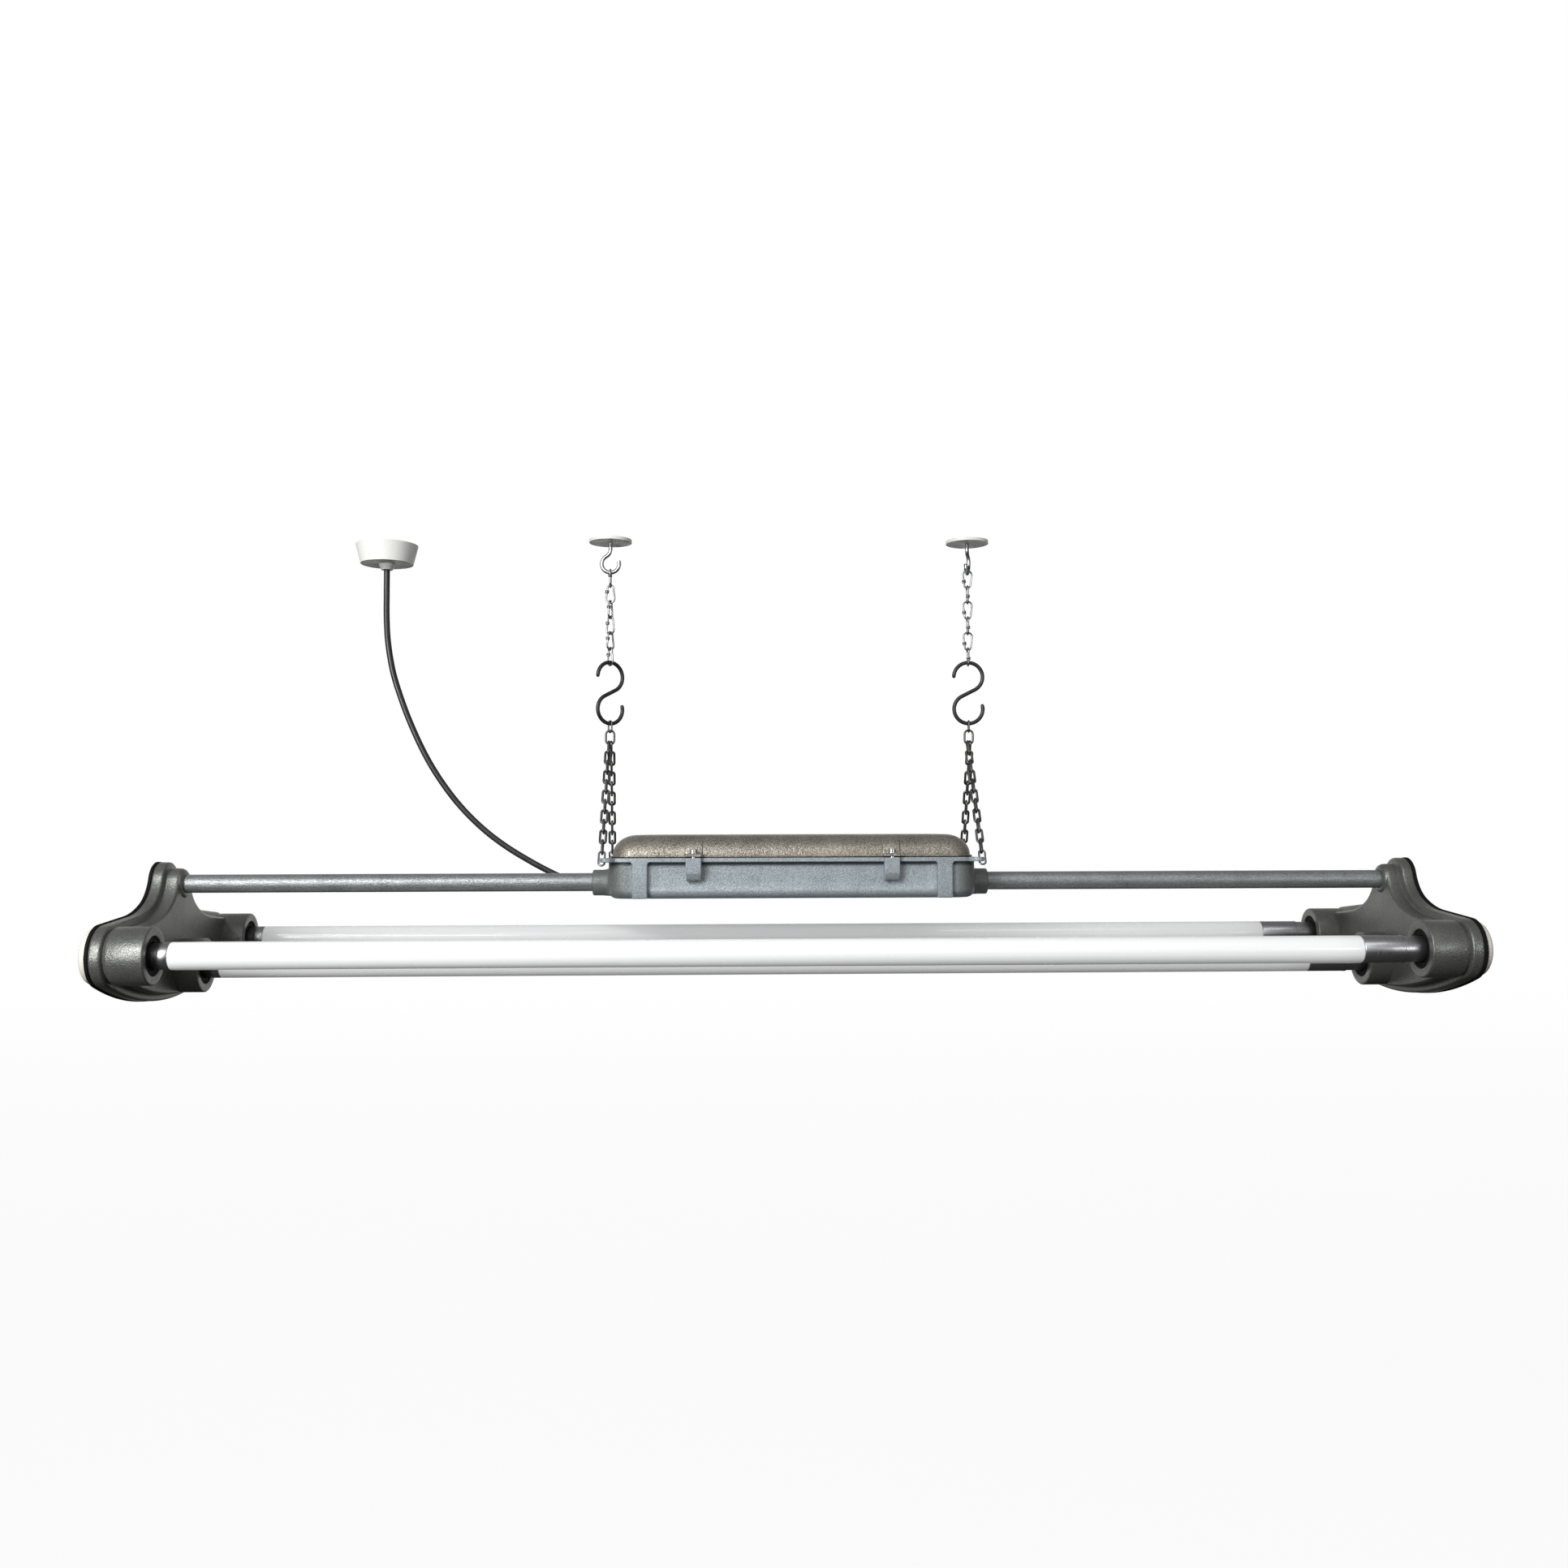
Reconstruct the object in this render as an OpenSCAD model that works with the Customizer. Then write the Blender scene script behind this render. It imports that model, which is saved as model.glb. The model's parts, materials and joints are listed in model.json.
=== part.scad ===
// Three-tube industrial pendant light: a cast gear box carries two long conduits, each conduit carries
// a cast end fitting, and three tubes run between the end fittings. It hangs on chains from two hooks.
// The origin is the middle of the ceiling screw pattern, on the ceiling. +X runs along the tubes, +Z up.

/* [Hanging] */
// Height of the ceiling above the axes of the front and rear tubes
lamp_drop = 418; // [418:1:418]
// Distance from the middle of the light to each hanging chain
chain_x = 186; // [184:1:188]
// Wire thickness of the ceiling hooks and the S-hooks
hook_wire = 4; // [3.5:0.1:4.2]
// Bend radius of an S-hook's loops
s_hook_r = 15; // [14:0.5:15.5]
// Number of knotted links in each upper chain
knot_links = 6; // [6:1:6]
// Distance from one knotted link to the next
knot_pitch = 16.4; // [16:0.1:16.6]
// Wire thickness of the knotted links
knot_wire = 1.9; // [1.6:0.1:2]
// Number of links in each lower chain
low_links = 11; // [11:2:11]
// Wire thickness of the lower chains
low_wire = 2.2; // [1.8:0.1:2.3]

/* [Tubes] */
// Length of a tube from cap face to cap face
tube_l = 1199.4; // [1199:0.1:1200]
// Outer diameter of a tube
tube_d = 26; // [25:0.1:26]
// Distance from the middle tube to the front and rear tubes, seen from above
tube_y = 130; // [128:1:132]
// Drop of the middle tube below the other two
middle_drop = 19; // [18:0.5:20]
// Length of the short metal cap
plain_cap_l = 21.4; // [16:0.1:22]
// Length of the long metal cap that holds the driver
driver_cap_l = 63; // [55:0.1:66]
// Distance between the two pins of a cap
pin_gap = 12.7; // [12.7:0.1:12.7]
// Diameter of a pin
pin_d = 2.35; // [2.3:0.01:2.4]

/* [End fittings] */
// Distance from the middle of the light to the socket ring faces
ring_x = 594; // [592:1:595]
// Outer diameter of a socket
socket_d = 54.6; // [53:0.1:56]
// Bore of a socket
socket_bore_d = 37.4; // [37:0.1:38]
// Radius of the rim round the front and rear sockets
lobe_r = 29; // [28:0.5:30]
// Radius of the rim round the conduit
neck_r = 22; // [21:0.5:22.5]
// Step from the rim in to the raised body
rim_step = 6; // [5.5:0.1:6.5]
// Wall of the casting
cast_wall = 3.5; // [3:0.1:3.6]

/* [Conduits] */
// Outer diameter of a conduit
pipe_d = 18.6; // [18:0.1:18.7]
// Height of the conduits above the front and rear tubes
pipe_z = 63.5; // [63:0.1:64]

/* [Gear box] */
// Length of the box without its flange
box_l = 367; // [365:1:368]
// Width of the box without its flange
box_w = 120; // [118:1:121]
// Height of the box's underside above the front and rear tubes
box_z = 48; // [47:0.5:49]
// Height of the flange's upper face
flange_z = 88.4; // [88:0.1:89]
// Thickness of the flange
flange_t = 4.3; // [4:0.1:4.5]
// Wall of the box
box_wall = 4; // [3:0.5:4]
// Height of the lid's dome above its lip
dome_h = 21.4; // [20:0.1:22]
// Distance from the middle to each pair of lid screws
clamp_x = 98; // [95:1:101]

/* [Mains cord] */
// Diameter of the cord
cord_d = 6.3; // [6:0.1:6.5]

/* [Hidden] */
$fn = 64;
eps = 0.01;
fit_gap = 0.05;    // radial gap of a fixed round fit
run_gap = 0.3;     // gap between pieces that move past each other

tube_r = tube_d / 2;
cap_x = tube_l / 2;
pipe_r = pipe_d / 2;
pipe_bore_r = pipe_r + fit_gap;
socket_r = socket_d / 2;
socket_bore_r = socket_bore_d / 2;
tube_places = [[-tube_y, 0], [0, -middle_drop], [tube_y, 0]];    // front, middle, rear: Y and Z

// Stations along X, outward from the middle
body_x = ring_x + 23.5;
rim_x = ring_x + 37;
gasket_x = rim_x + 11;
cover_x = gasket_x + 3.5;
cover_t = 1.5;
cover_inset = 2.5;
cover_cap_r = 26.3;                 // raised cap behind the front and rear lampholders
cover_cap_h = 10;
cavity_x = body_x + cast_wall;
bracket_x = cavity_x + 3;
bracket_t = 1.5;
pipe_end_x = cavity_x + 6;
neck_boss_x = ring_x + 20;
neck_boss_r = 15.3;
pipe_start_x = box_l / 2 - 12;

// Rim outline of an end fitting, seen along X. From the neck a tight arc runs into a wide one, then a
// straight line to the lobe, and each touches the next. The belly touches both lobes from below.
shoulder_r = 100;
shoulder_c = [88, 133.5];
flare_join_y = 42;
flare_join = [flare_join_y, shoulder_c[1] - sqrt(pow(shoulder_r, 2) - pow(shoulder_c[0] - flare_join_y, 2))];
flare_dir = (flare_join - shoulder_c) / shoulder_r;
flare_span = flare_join - [0, pipe_z];
flare_r = (flare_span * flare_span - neck_r * neck_r) / (2 * (neck_r + flare_span * flare_dir));
flare_c = flare_join - flare_r * flare_dir;
line_span = shoulder_c - [tube_y, 0];
line_angle = atan2(line_span[1], line_span[0]) - acos((shoulder_r + lobe_r) / norm(line_span));
line_dir = [cos(line_angle), sin(line_angle)];
belly_depth = 53;
belly_r = (tube_y * tube_y + belly_depth * belly_depth - lobe_r * lobe_r) / (2 * (belly_depth - lobe_r));
belly_c = [0, belly_r - belly_depth];
belly_dir = [tube_y, -belly_c[1]] / (belly_r - lobe_r);
cover_screw_places = [[-65, 24], [65, 24], [-65, -34], [65, -34]];
bracket_screw_places = [[-90, 0], [90, 0]];
screw_boss_r = 5;
cover_screw_r = 2;
bracket_screw_r = 1.5;

// Gear box
box_corner_r = 20;
box_edge_r = 8;
flange_l = 372;
flange_w = 130;
flange_bottom = flange_z - flange_t;
lug_place = [183.8, 61];
lug_r = 6.5;
lug_hole_r = 3.4;
rib_x = 151;
rib_w = 15;
claw_w = 15.5;
claw_y = 70;
clamp_screw_y = 65.4;
clamp_screw_r = 2.5;
boss_x = 203;
boss_r = 13.2;
gasket_t = 0.6;
lip_l = 364;
lip_w = 124;
lip_t = 1.5;
lip_z = flange_z + gasket_t + 0.1;
dome_l = 358;
dome_w = 118;
lid_wall = 3;
pad_w = 17.5;
pad_top = 106;
tab_t = 2.1;
tray_l = 290;
tray_w = 84;
tray_z = 61;
tray_t = 1.5;
tray_post_places = [[-130, -32], [130, -32], [-130, 32], [130, 32]];
gland_y = 32;
gland_z = 64;
gland_thread_r = 8;
gland_end_x = 212;

// Hanging gear. Each height is a wire's centre above the tubes.
ring_wire_r = 1;
lug_ring_l = 15.5;               // oval ring through a lug, between wire centres
lug_ring_w = 6;
lug_ring_c = [188.6, 60.1, flange_bottom + 3.95];
thin_wire = 1.6;
knot_l = knot_pitch + knot_wire;
s_hook_half = 16.8;              // from the middle of an S-hook to the centre of a loop
s_hook_mid_z = 258.5;
s_hook_top_z = s_hook_mid_z + s_hook_half + s_hook_r;
s_hook_low_z = s_hook_mid_z - s_hook_half - s_hook_r;
knot_low_z = s_hook_top_z - (hook_wire + knot_wire) / 2 - 0.1;
knot_top_z = knot_low_z + knot_l + (knot_links - 1) * (knot_pitch - 0.1);
thin_link_top = s_hook_low_z + (hook_wire + thin_wire) / 2 + 0.1;
thin_link_l = 12;
thin_link_w = 6.2;
s_hook_turn = [38, 0];           // left, right
low_l = 14.3;                    // length of a lower link between wire centres
low_w = 5.8;                     // its width between wire centres
joint_w = 8.6;                   // width of the wider link that two chains share
joint_side = 1.3;                // each chain's distance from the middle of that link
joint_link_top = thin_link_top - thin_link_l + (thin_wire + low_wire) / 2 + 0.1;
low_chain_top = joint_link_top - low_l + joint_w / 2 - sqrt(pow(joint_w / 2, 2) - pow(joint_side, 2));
hook_r = 9;
hook_low_z = knot_top_z - (hook_wire + knot_wire) / 2 - 0.2;
plate_r = 22;
plate_t = 3;
plate_hole_y = 15;
plate_hole_r = 2.25;

// Cable rose on the ceiling, measured down from the ceiling
rose_x = -423.5;
rose_y = 30;
rose_r = 32;
rose_h = 20;
rose_wall = 2;
rose_hole_y = 20;
rose_grip_r = 6;
rose_grip_h = 6;

// Route of the mains cord, from inside the gland nut to the rose, measured from the tubes
cord_route = [
    [-207, 32, 64], [-221, 32, 64], [-230, 32, 65.2], [-240, 32, 68.5], [-252, 32, 74],
    [-271.5, 32, 84.5], [-297.5, 31.9, 100.5], [-321.5, 31.8, 119], [-345, 31.6, 142.5],
    [-365, 31.4, 168.5], [-382, 31.2, 196.5], [-397.5, 31, 229.5], [-408.5, 30.7, 258.5],
    [-416.5, 30.4, 285], [-421.5, 30.2, 314], [-423.3, 30.1, 340], [-423.5, 30, 366],
    [-423.5, 30, 380], [-423.5, 30, lamp_drop - rose_h - rose_grip_h]
];
cord_sides = 10;

// ---- Helpers ----

module hung() { translate([0, 0, -lamp_drop]) children(); }

module both_ends() {
    children();
    mirror([1, 0, 0]) children();
}

// A plane outline in Y and Z, made solid from x0 to x1
module slab(x0, x1) { translate([x0, 0, 0]) rotate([90, 0, 90]) linear_extrude(x1 - x0) children(); }

module along_x(x0, x1, r, y = 0, z = 0) { translate([x0, y, z]) rotate([0, 90, 0]) cylinder(r = r, h = x1 - x0); }

// A straight round bar between two points
module bar(a, b, r) {
    d = b - a;
    len = norm(d);
    translate(a) rotate([0, acos(d[2] / len), atan2(d[1], d[0])]) cylinder(r = r, h = len);
}

// A straight stretch of wire between two bends. It is a hair thinner and runs a little way into both.
module strut(a, b, r) {
    reach = (b - a) * (0.2 / norm(b - a));
    bar(a - reach, b + reach, r - 0.02);
}

// An arc of wire in the XZ plane, about the origin, from angle a0 to a1
module wire_arc(bend_r, wire_r, a0, a1) {
    rotate([90, 0, 0]) rotate([0, 0, a0]) rotate_extrude(angle = a1 - a0) translate([bend_r, 0]) circle(wire_r);
}

module rounded_plate(l, w, r, t) {
    linear_extrude(t) {
        square([l - 2 * r, w], center = true);
        square([l, w - 2 * r], center = true);
        for (x = [-1, 1], y = [-1, 1]) translate([x * (l / 2 - r), y * (w / 2 - r)]) circle(r);
    }
}

// A block with upright rounded corners and rounded lower edges
module tray_block(l, w, h, corner_r, edge_r) {
    intersection() {
        rounded_plate(l, w, corner_r, h);
        translate([0, w / 2 + 1, 0]) rotate([90, 0, 0]) linear_extrude(w + 2) tray_profile(l, h, edge_r);
        translate([-l / 2 - 1, 0, 0]) rotate([90, 0, 90]) linear_extrude(l + 2) tray_profile(w, h, edge_r);
    }
}

module tray_profile(w, h, edge_r) {
    translate([-w / 2 - 1, edge_r]) square([w + 2, h + 1]);
    translate([-w / 2 + edge_r, -1]) square([w - 2 * edge_r, h + 1]);
    for (x = [-1, 1]) translate([x * (w / 2 - edge_r), edge_r]) circle(edge_r);
}

// A low dome: a plate whose upper edge is rounded with its own height
module dome_block(l, w, h) {
    linear_extrude(h) square([l - 2 * h, w - 2 * h], center = true);
    for (y = [-1, 1]) translate([-l / 2 + h, y * (w / 2 - h), 0]) rotate([0, 90, 0]) cylinder(r = h, h = l - 2 * h);
    for (x = [-1, 1]) translate([x * (l / 2 - h), -w / 2 + h, 0]) rotate([-90, 0, 0]) cylinder(r = h, h = w - 2 * h);
    for (x = [-1, 1], y = [-1, 1]) translate([x * (l / 2 - h), y * (w / 2 - h), 0]) sphere(h);
}

module above(z) { intersection() { children(); translate([-300, -200, z]) cube([600, 400, 200]); } }

// ---- Ceiling fittings ----

module hook_plate(side) {
    color("gainsboro") translate([side * chain_x, 0, -plate_t]) difference() {
        cylinder(r = plate_r, h = plate_t);
        for (y = [-1, 1]) translate([0, y * plate_hole_y, -1]) cylinder(r = plate_hole_r, h = plate_t + 2);
        translate([0, 0, -1]) cylinder(r = hook_wire / 2 + fit_gap, h = plate_t + 2);
    }
}

// An open hook whose shank is riveted into its plate. turn is the angle of its plane about Z.
module ceiling_hook(side, turn) {
    bend_z = hook_low_z + hook_r - lamp_drop;
    shank_z = bend_z + 2 * hook_r * sin(60);
    color("whitesmoke") translate([side * chain_x, 0, 0]) rotate([0, 0, turn]) {
        translate([0, 0, bend_z]) wire_arc(hook_r, hook_wire / 2, -240, 20);
        translate([-hook_r, 0, shank_z]) wire_arc(hook_r, hook_wire / 2, -59.7, -0.1);
        translate([-hook_r / 2, 0, bend_z + hook_r * sin(60)]) rotate([0, 30, 0])
            strut([0, 0, -0.01], [0, 0, 0.01], hook_wire / 2);
        strut([0, 0, shank_z], [0, 0, -0.4], hook_wire / 2);
    }
}

module rose_base() {
    base_r = rose_r - rose_wall - 1.5;
    color("whitesmoke") translate([rose_x, rose_y, -3]) difference() {
        cylinder(r = base_r, h = 3);
        for (y = [-1, 1]) translate([0, y * rose_hole_y, -1]) cylinder(r = plate_hole_r, h = 5);
        translate([0, 0, -1]) cylinder(r = 7, h = 5);
    }
}

module rose_cover() {
    color("white") translate([rose_x, rose_y, -rose_h]) difference() {
        cylinder(r1 = rose_r - 5, r2 = rose_r, h = rose_h);
        translate([0, 0, rose_wall]) cylinder(r1 = rose_r - 5 - rose_wall, r2 = rose_r - rose_wall, h = rose_h);
        translate([0, 0, -1]) cylinder(r = rose_grip_r + fit_gap, h = rose_h);
    }
}

module rose_cord_grip() {
    color("white") translate([rose_x, rose_y, -rose_h - rose_grip_h]) {
        cylinder(r = rose_grip_r, h = rose_grip_h + rose_wall + 2);
        cylinder(r1 = rose_grip_r, r2 = rose_grip_r + 2.5, h = rose_grip_h);
    }
}

// ---- Chains and hooks ----

// A knotted link in the XZ plane: wide arc above, narrow arc below, and two wraps of wire round one side
module knot_link() {
    r = knot_wire / 2;
    wide_r = 4.5;
    narrow_r = 3.1;
    rise = knot_l - wide_r - narrow_r;
    lean = asin((wide_r - narrow_r) / rise);
    translate([0, 0, knot_l - wide_r]) wire_arc(wide_r, r, -lean, 180 + lean);
    translate([0, 0, narrow_r]) {
        wire_arc(narrow_r, r, 180 + lean, 360 - lean);
        for (x = [-1, 1]) strut([x * narrow_r * cos(lean), 0, -narrow_r * sin(lean)],
            [x * wide_r * cos(lean), 0, rise - wide_r * sin(lean)], r);
        for (z = [2.95, 4.55]) translate([-narrow_r - z * tan(lean), 0, z]) rotate([0, -lean, 0])
            rotate_extrude() translate([1.35, 0]) circle(r * 0.85);
    }
}

// swap turns every link by a quarter, twist turns the chain a little more at each link, and flip puts
// the wide ends below
module upper_chain(side, swap, twist, flip) {
    $fn = 24;
    color("silver") hung() for (i = [0 : knot_links - 1])
        translate([side * chain_x, 0, knot_low_z + i * (knot_pitch - 0.1)])
            rotate([0, 0, 90 * ((i + 1 + swap) % 2) - twist * (knot_links - 1 - i)])
                translate([0, 0, flip ? knot_l : 0]) mirror([0, 0, flip ? 1 : 0]) knot_link();
}

// Two loops and the straight stretch that touches both
module s_hook(side, turn) {
    $fn = 32;
    r = hook_wire / 2;
    lean = asin(s_hook_r / s_hook_half);        // angle of the straight stretch from upright
    touch = [s_hook_r * cos(lean), 0, s_hook_half - s_hook_r * sin(lean)];
    color("dimgray") hung() translate([side * chain_x, 0, s_hook_mid_z]) rotate([0, 0, turn]) {
        translate([0, 0, s_hook_half]) wire_arc(s_hook_r, r, -lean, 184);
        translate([0, 0, -s_hook_half]) wire_arc(s_hook_r, r, 180 - lean, 380);
        strut(-touch, touch, r);
    }
}

// An oval link in the XZ plane. Its top wire centre is at the origin.
module oval_link(l, w, r) {
    translate([0, 0, -w / 2]) wire_arc(w / 2, r, 0, 180);
    translate([0, 0, -l + w / 2]) wire_arc(w / 2, r, 180, 360);
    for (x = [-1, 1]) bar([x * w / 2, 0, -l + w / 2], [x * w / 2, 0, -w / 2], r);
}

// Under each S-hook: a thin wire link, then the link that both lower chains hang from
module joining_links() {
    $fn = 24;
    color("dimgray") hung() for (side = [-1, 1]) {
        translate([side * chain_x, 0, thin_link_top]) rotate([0, 0, 90 + s_hook_turn[(side + 1) / 2]])
            oval_link(thin_link_l, thin_link_w, thin_wire / 2);
        translate([side * chain_x, 0, joint_link_top]) oval_link(low_l, joint_w, low_wire / 2);
    }
}

// A straight run of oval links from the joining link to a lug ring
module lower_chain(side, depth) {
    $fn = 20;
    hang = [side * chain_x + depth * joint_side, 0, low_chain_top];
    ring = [side * lug_ring_c[0], depth * lug_ring_c[1], lug_ring_c[2]];
    dir = (ring - hang) / norm(ring - hang);
    top = hang - dir * (low_wire + 0.2);
    run_l = norm(ring - top) - (lug_ring_l / 2 - ring_wire_r - low_wire / 2 - 0.1);
    pitch = (run_l - low_l) / (low_links - 1);
    color("gray") hung() for (i = [0 : low_links - 1])
        translate(top + dir * pitch * i)
            rotate([0, 180 - acos(dir[2]), atan2(dir[1], dir[0]) + 180])
                rotate([0, 0, (i % 2) * 90]) oval_link(low_l, low_w, low_wire / 2);
}

// An oval ring through each lug, leaning along its chain
module lug_rings() {
    lean = atan2(lug_ring_c[1], low_chain_top - lug_ring_c[2]);
    color("darkgray") hung() for (side = [-1, 1], depth = [-1, 1])
        translate([side * lug_ring_c[0], depth * lug_ring_c[1], lug_ring_c[2]])
            rotate([depth * lean, 0, 0]) translate([0, 0, lug_ring_l / 2])
                oval_link(lug_ring_l, lug_ring_w, ring_wire_r, $fn = 32);
}

// ---- Gear box and lid ----

module flange_outline() {
    r = 22;
    corner = [flange_l / 2 - r, flange_w / 2 - r];
    reach = lug_place - corner;
    square([flange_l - 2 * r, flange_w], center = true);
    square([flange_l, flange_w - 2 * r], center = true);
    for (x = [-1, 1], y = [-1, 1]) {
        translate([x * corner[0], y * corner[1]]) circle(r);
        translate([x * corner[0], y * corner[1]]) rotate(atan2(y * reach[1], x * reach[0]))
            translate([0, 0.2 - lug_r]) square([norm(reach), 2 * lug_r - 0.4]);
        translate([x * lug_place[0], y * lug_place[1]]) circle(lug_r);
    }
    for (x = [-1, 1]) translate([x * clamp_x, 0]) square([pad_w, 2 * claw_y], center = true);
}

// Threaded claw under the flange, tapered below
module claw(x, y) {
    translate([x * clamp_x, 0, 0]) rotate([0, 0, y > 0 ? 180 : 0]) translate([-claw_w / 2, -claw_y, 0])
        rotate([90, 0, 90]) linear_extrude(claw_w)
            polygon([[0, flange_bottom + 1], [0, 72], [3.5, 65.5], [12, 65.5], [12, flange_bottom + 1]]);
}

module gear_box() {
    depth = flange_z - box_z;
    color("lightslategray") hung() difference() {
        union() {
            translate([0, 0, box_z]) tray_block(box_l, box_w, depth - 0.5, box_corner_r, box_edge_r);
            translate([0, 0, flange_bottom]) linear_extrude(flange_t) flange_outline();
            for (x = [-1, 1], y = [-1, 1]) {
                translate([x * rib_x - rib_w / 2, y > 0 ? box_w / 2 - 4 : -flange_w / 2, box_z - 0.3])
                    cube([rib_w, flange_w / 2 - box_w / 2 + 4, flange_bottom - box_z + 0.8]);
                claw(x, y);
            }
            both_ends() {
                along_x(box_l / 2 - 3, boss_x, boss_r, 0, pipe_z - 0.5);
                translate([box_l / 2 - 3, -16, pipe_z - 0.5 - boss_r]) cube([10, 32, 2 * boss_r]);
            }
        }
        difference() {
            translate([0, 0, box_z + box_wall])
                tray_block(box_l - 2 * box_wall, box_w - 2 * box_wall, depth, box_corner_r - box_wall, box_edge_r - 2);
            for (p = tray_post_places) translate([p[0], p[1], box_z]) cylinder(r = 5, h = tray_z - box_z);
        }
        for (p = tray_post_places) translate([p[0], p[1], box_z + 3]) cylinder(r = 1.6, h = 30);
        both_ends() {
            along_x(box_l / 2 - 15, boss_x + 1, pipe_bore_r, 0, pipe_z);
            along_x(box_l / 2 - 15, box_l / 2 - box_wall, 12.2, 0, pipe_z);      // seat of a lock nut
        }
        for (x = [-1, 1], y = [-1, 1]) {
            translate([x * clamp_x, y * clamp_screw_y, 60]) cylinder(r = clamp_screw_r + fit_gap, h = 40);
            translate([x * lug_place[0], y * lug_place[1], 70]) cylinder(r = lug_hole_r, h = 30);
        }
        // shallow panel between the two ribs of each long side
        for (y = [-1, 1]) translate([-rib_x + rib_w / 2 + 1, y > 0 ? box_w / 2 - 1 : -box_w / 2 - 1, box_z + 9])
            difference() {
                cube([2 * rib_x - rib_w - 2, 2, flange_bottom - box_z - 10.5]);
                for (x = [-1, 1]) translate([rib_x - rib_w / 2 - 1 + x * clamp_x - claw_w / 2, -1, -1])
                    cube([claw_w, 4, 60]);
            }
        translate([-box_l / 2 - 1, gland_y, gland_z]) rotate([0, 90, 0])
            cylinder(r = gland_thread_r + fit_gap, h = box_wall + 2);
    }
}

module lid_gasket() {
    color("black") hung() translate([0, 0, flange_z]) difference() {
        rounded_plate(lip_l - 2, lip_w - 2, 21, gasket_t);
        translate([0, 0, -1]) rounded_plate(lip_l - 12, lip_w - 12, 16, gasket_t + 2);
    }
}

module lid() {
    dome_z = lip_z + lip_t;
    color("rosybrown") hung() difference() {
        union() {
            translate([0, 0, lip_z]) rounded_plate(lip_l, lip_w, 22, lip_t);
            above(dome_z - eps) translate([0, 0, dome_z]) dome_block(dome_l, dome_w, dome_h);
            // raised pads over the screws, following the dome
            for (x = [-1, 1]) intersection() {
                above(dome_z - eps) translate([0, 0, dome_z]) dome_block(dome_l, dome_w + 3, dome_h + 1.2);
                translate([x * clamp_x - pad_w / 2, -100, 0]) cube([pad_w, 200, pad_top]);
            }
            for (x = [-1, 1]) translate([x * clamp_x - pad_w / 2, -claw_y, lip_z])
                difference() {
                    cube([pad_w, 2 * claw_y, tab_t]);
                    translate([-1, 20, -1]) cube([pad_w + 2, 2 * claw_y - 40, tab_t + 2]);
                }
        }
        above(lip_z - 1) translate([0, 0, dome_z])
            dome_block(dome_l - 2 * lid_wall, dome_w - 2 * lid_wall, dome_h - lid_wall);
        translate([0, 0, lip_z - 1]) rounded_plate(dome_l - 2 * lid_wall, dome_w - 2 * lid_wall, 19, lip_t + 1.1);
        for (x = [-1, 1], y = [-1, 1]) translate([x * clamp_x, y * clamp_screw_y, lip_z - 1])
            cylinder(r = clamp_screw_r + fit_gap, h = 20);
    }
}

module lid_screws() {
    color("silver") hung() for (x = [-1, 1], y = [-1, 1])
        translate([x * clamp_x, y * clamp_screw_y, lip_z + tab_t]) {
            cylinder(r = 4.4, h = 0.9);
            difference() {
                cylinder(r = 3.8, h = 4.2);
                translate([-5, -0.6, 3]) cube([10, 1.2, 2]);
            }
            translate([0, 0, 66 - lip_z - tab_t]) cylinder(r = clamp_screw_r, h = lip_z + tab_t - 65);
        }
}

module gear_tray() {
    color("gainsboro") hung() difference() {
        translate([0, 0, tray_z]) rounded_plate(tray_l, tray_w, 6, tray_t);
        for (p = tray_post_places) translate([p[0], p[1], tray_z - 1]) cylinder(r = 2, h = 4);
    }
}

module tray_screws() {
    color("silver") hung() for (p = tray_post_places) translate([p[0], p[1], tray_z + tray_t]) {
        cylinder(r = 3.5, h = 2.4);
        translate([0, 0, -9]) cylinder(r = 1.5, h = 9.5);
    }
}

// Five-way terminal block on the tray, with its screw wells and wire holes
module terminal_block() {
    color("ivory") hung() translate([-30, -10, tray_z + tray_t]) difference() {
        cube([60, 20, 14]);
        for (i = [0 : 4]) translate([6 + 12 * i, 10, 0]) {
            for (y = [-5, 5]) translate([0, y, 8]) cylinder(r = 2, h = 10);
            translate([0, -11, 5]) rotate([-90, 0, 0]) cylinder(r = 1.7, h = 7);
            translate([0, 4, 5]) rotate([-90, 0, 0]) cylinder(r = 1.7, h = 7);
        }
    }
}

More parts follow.
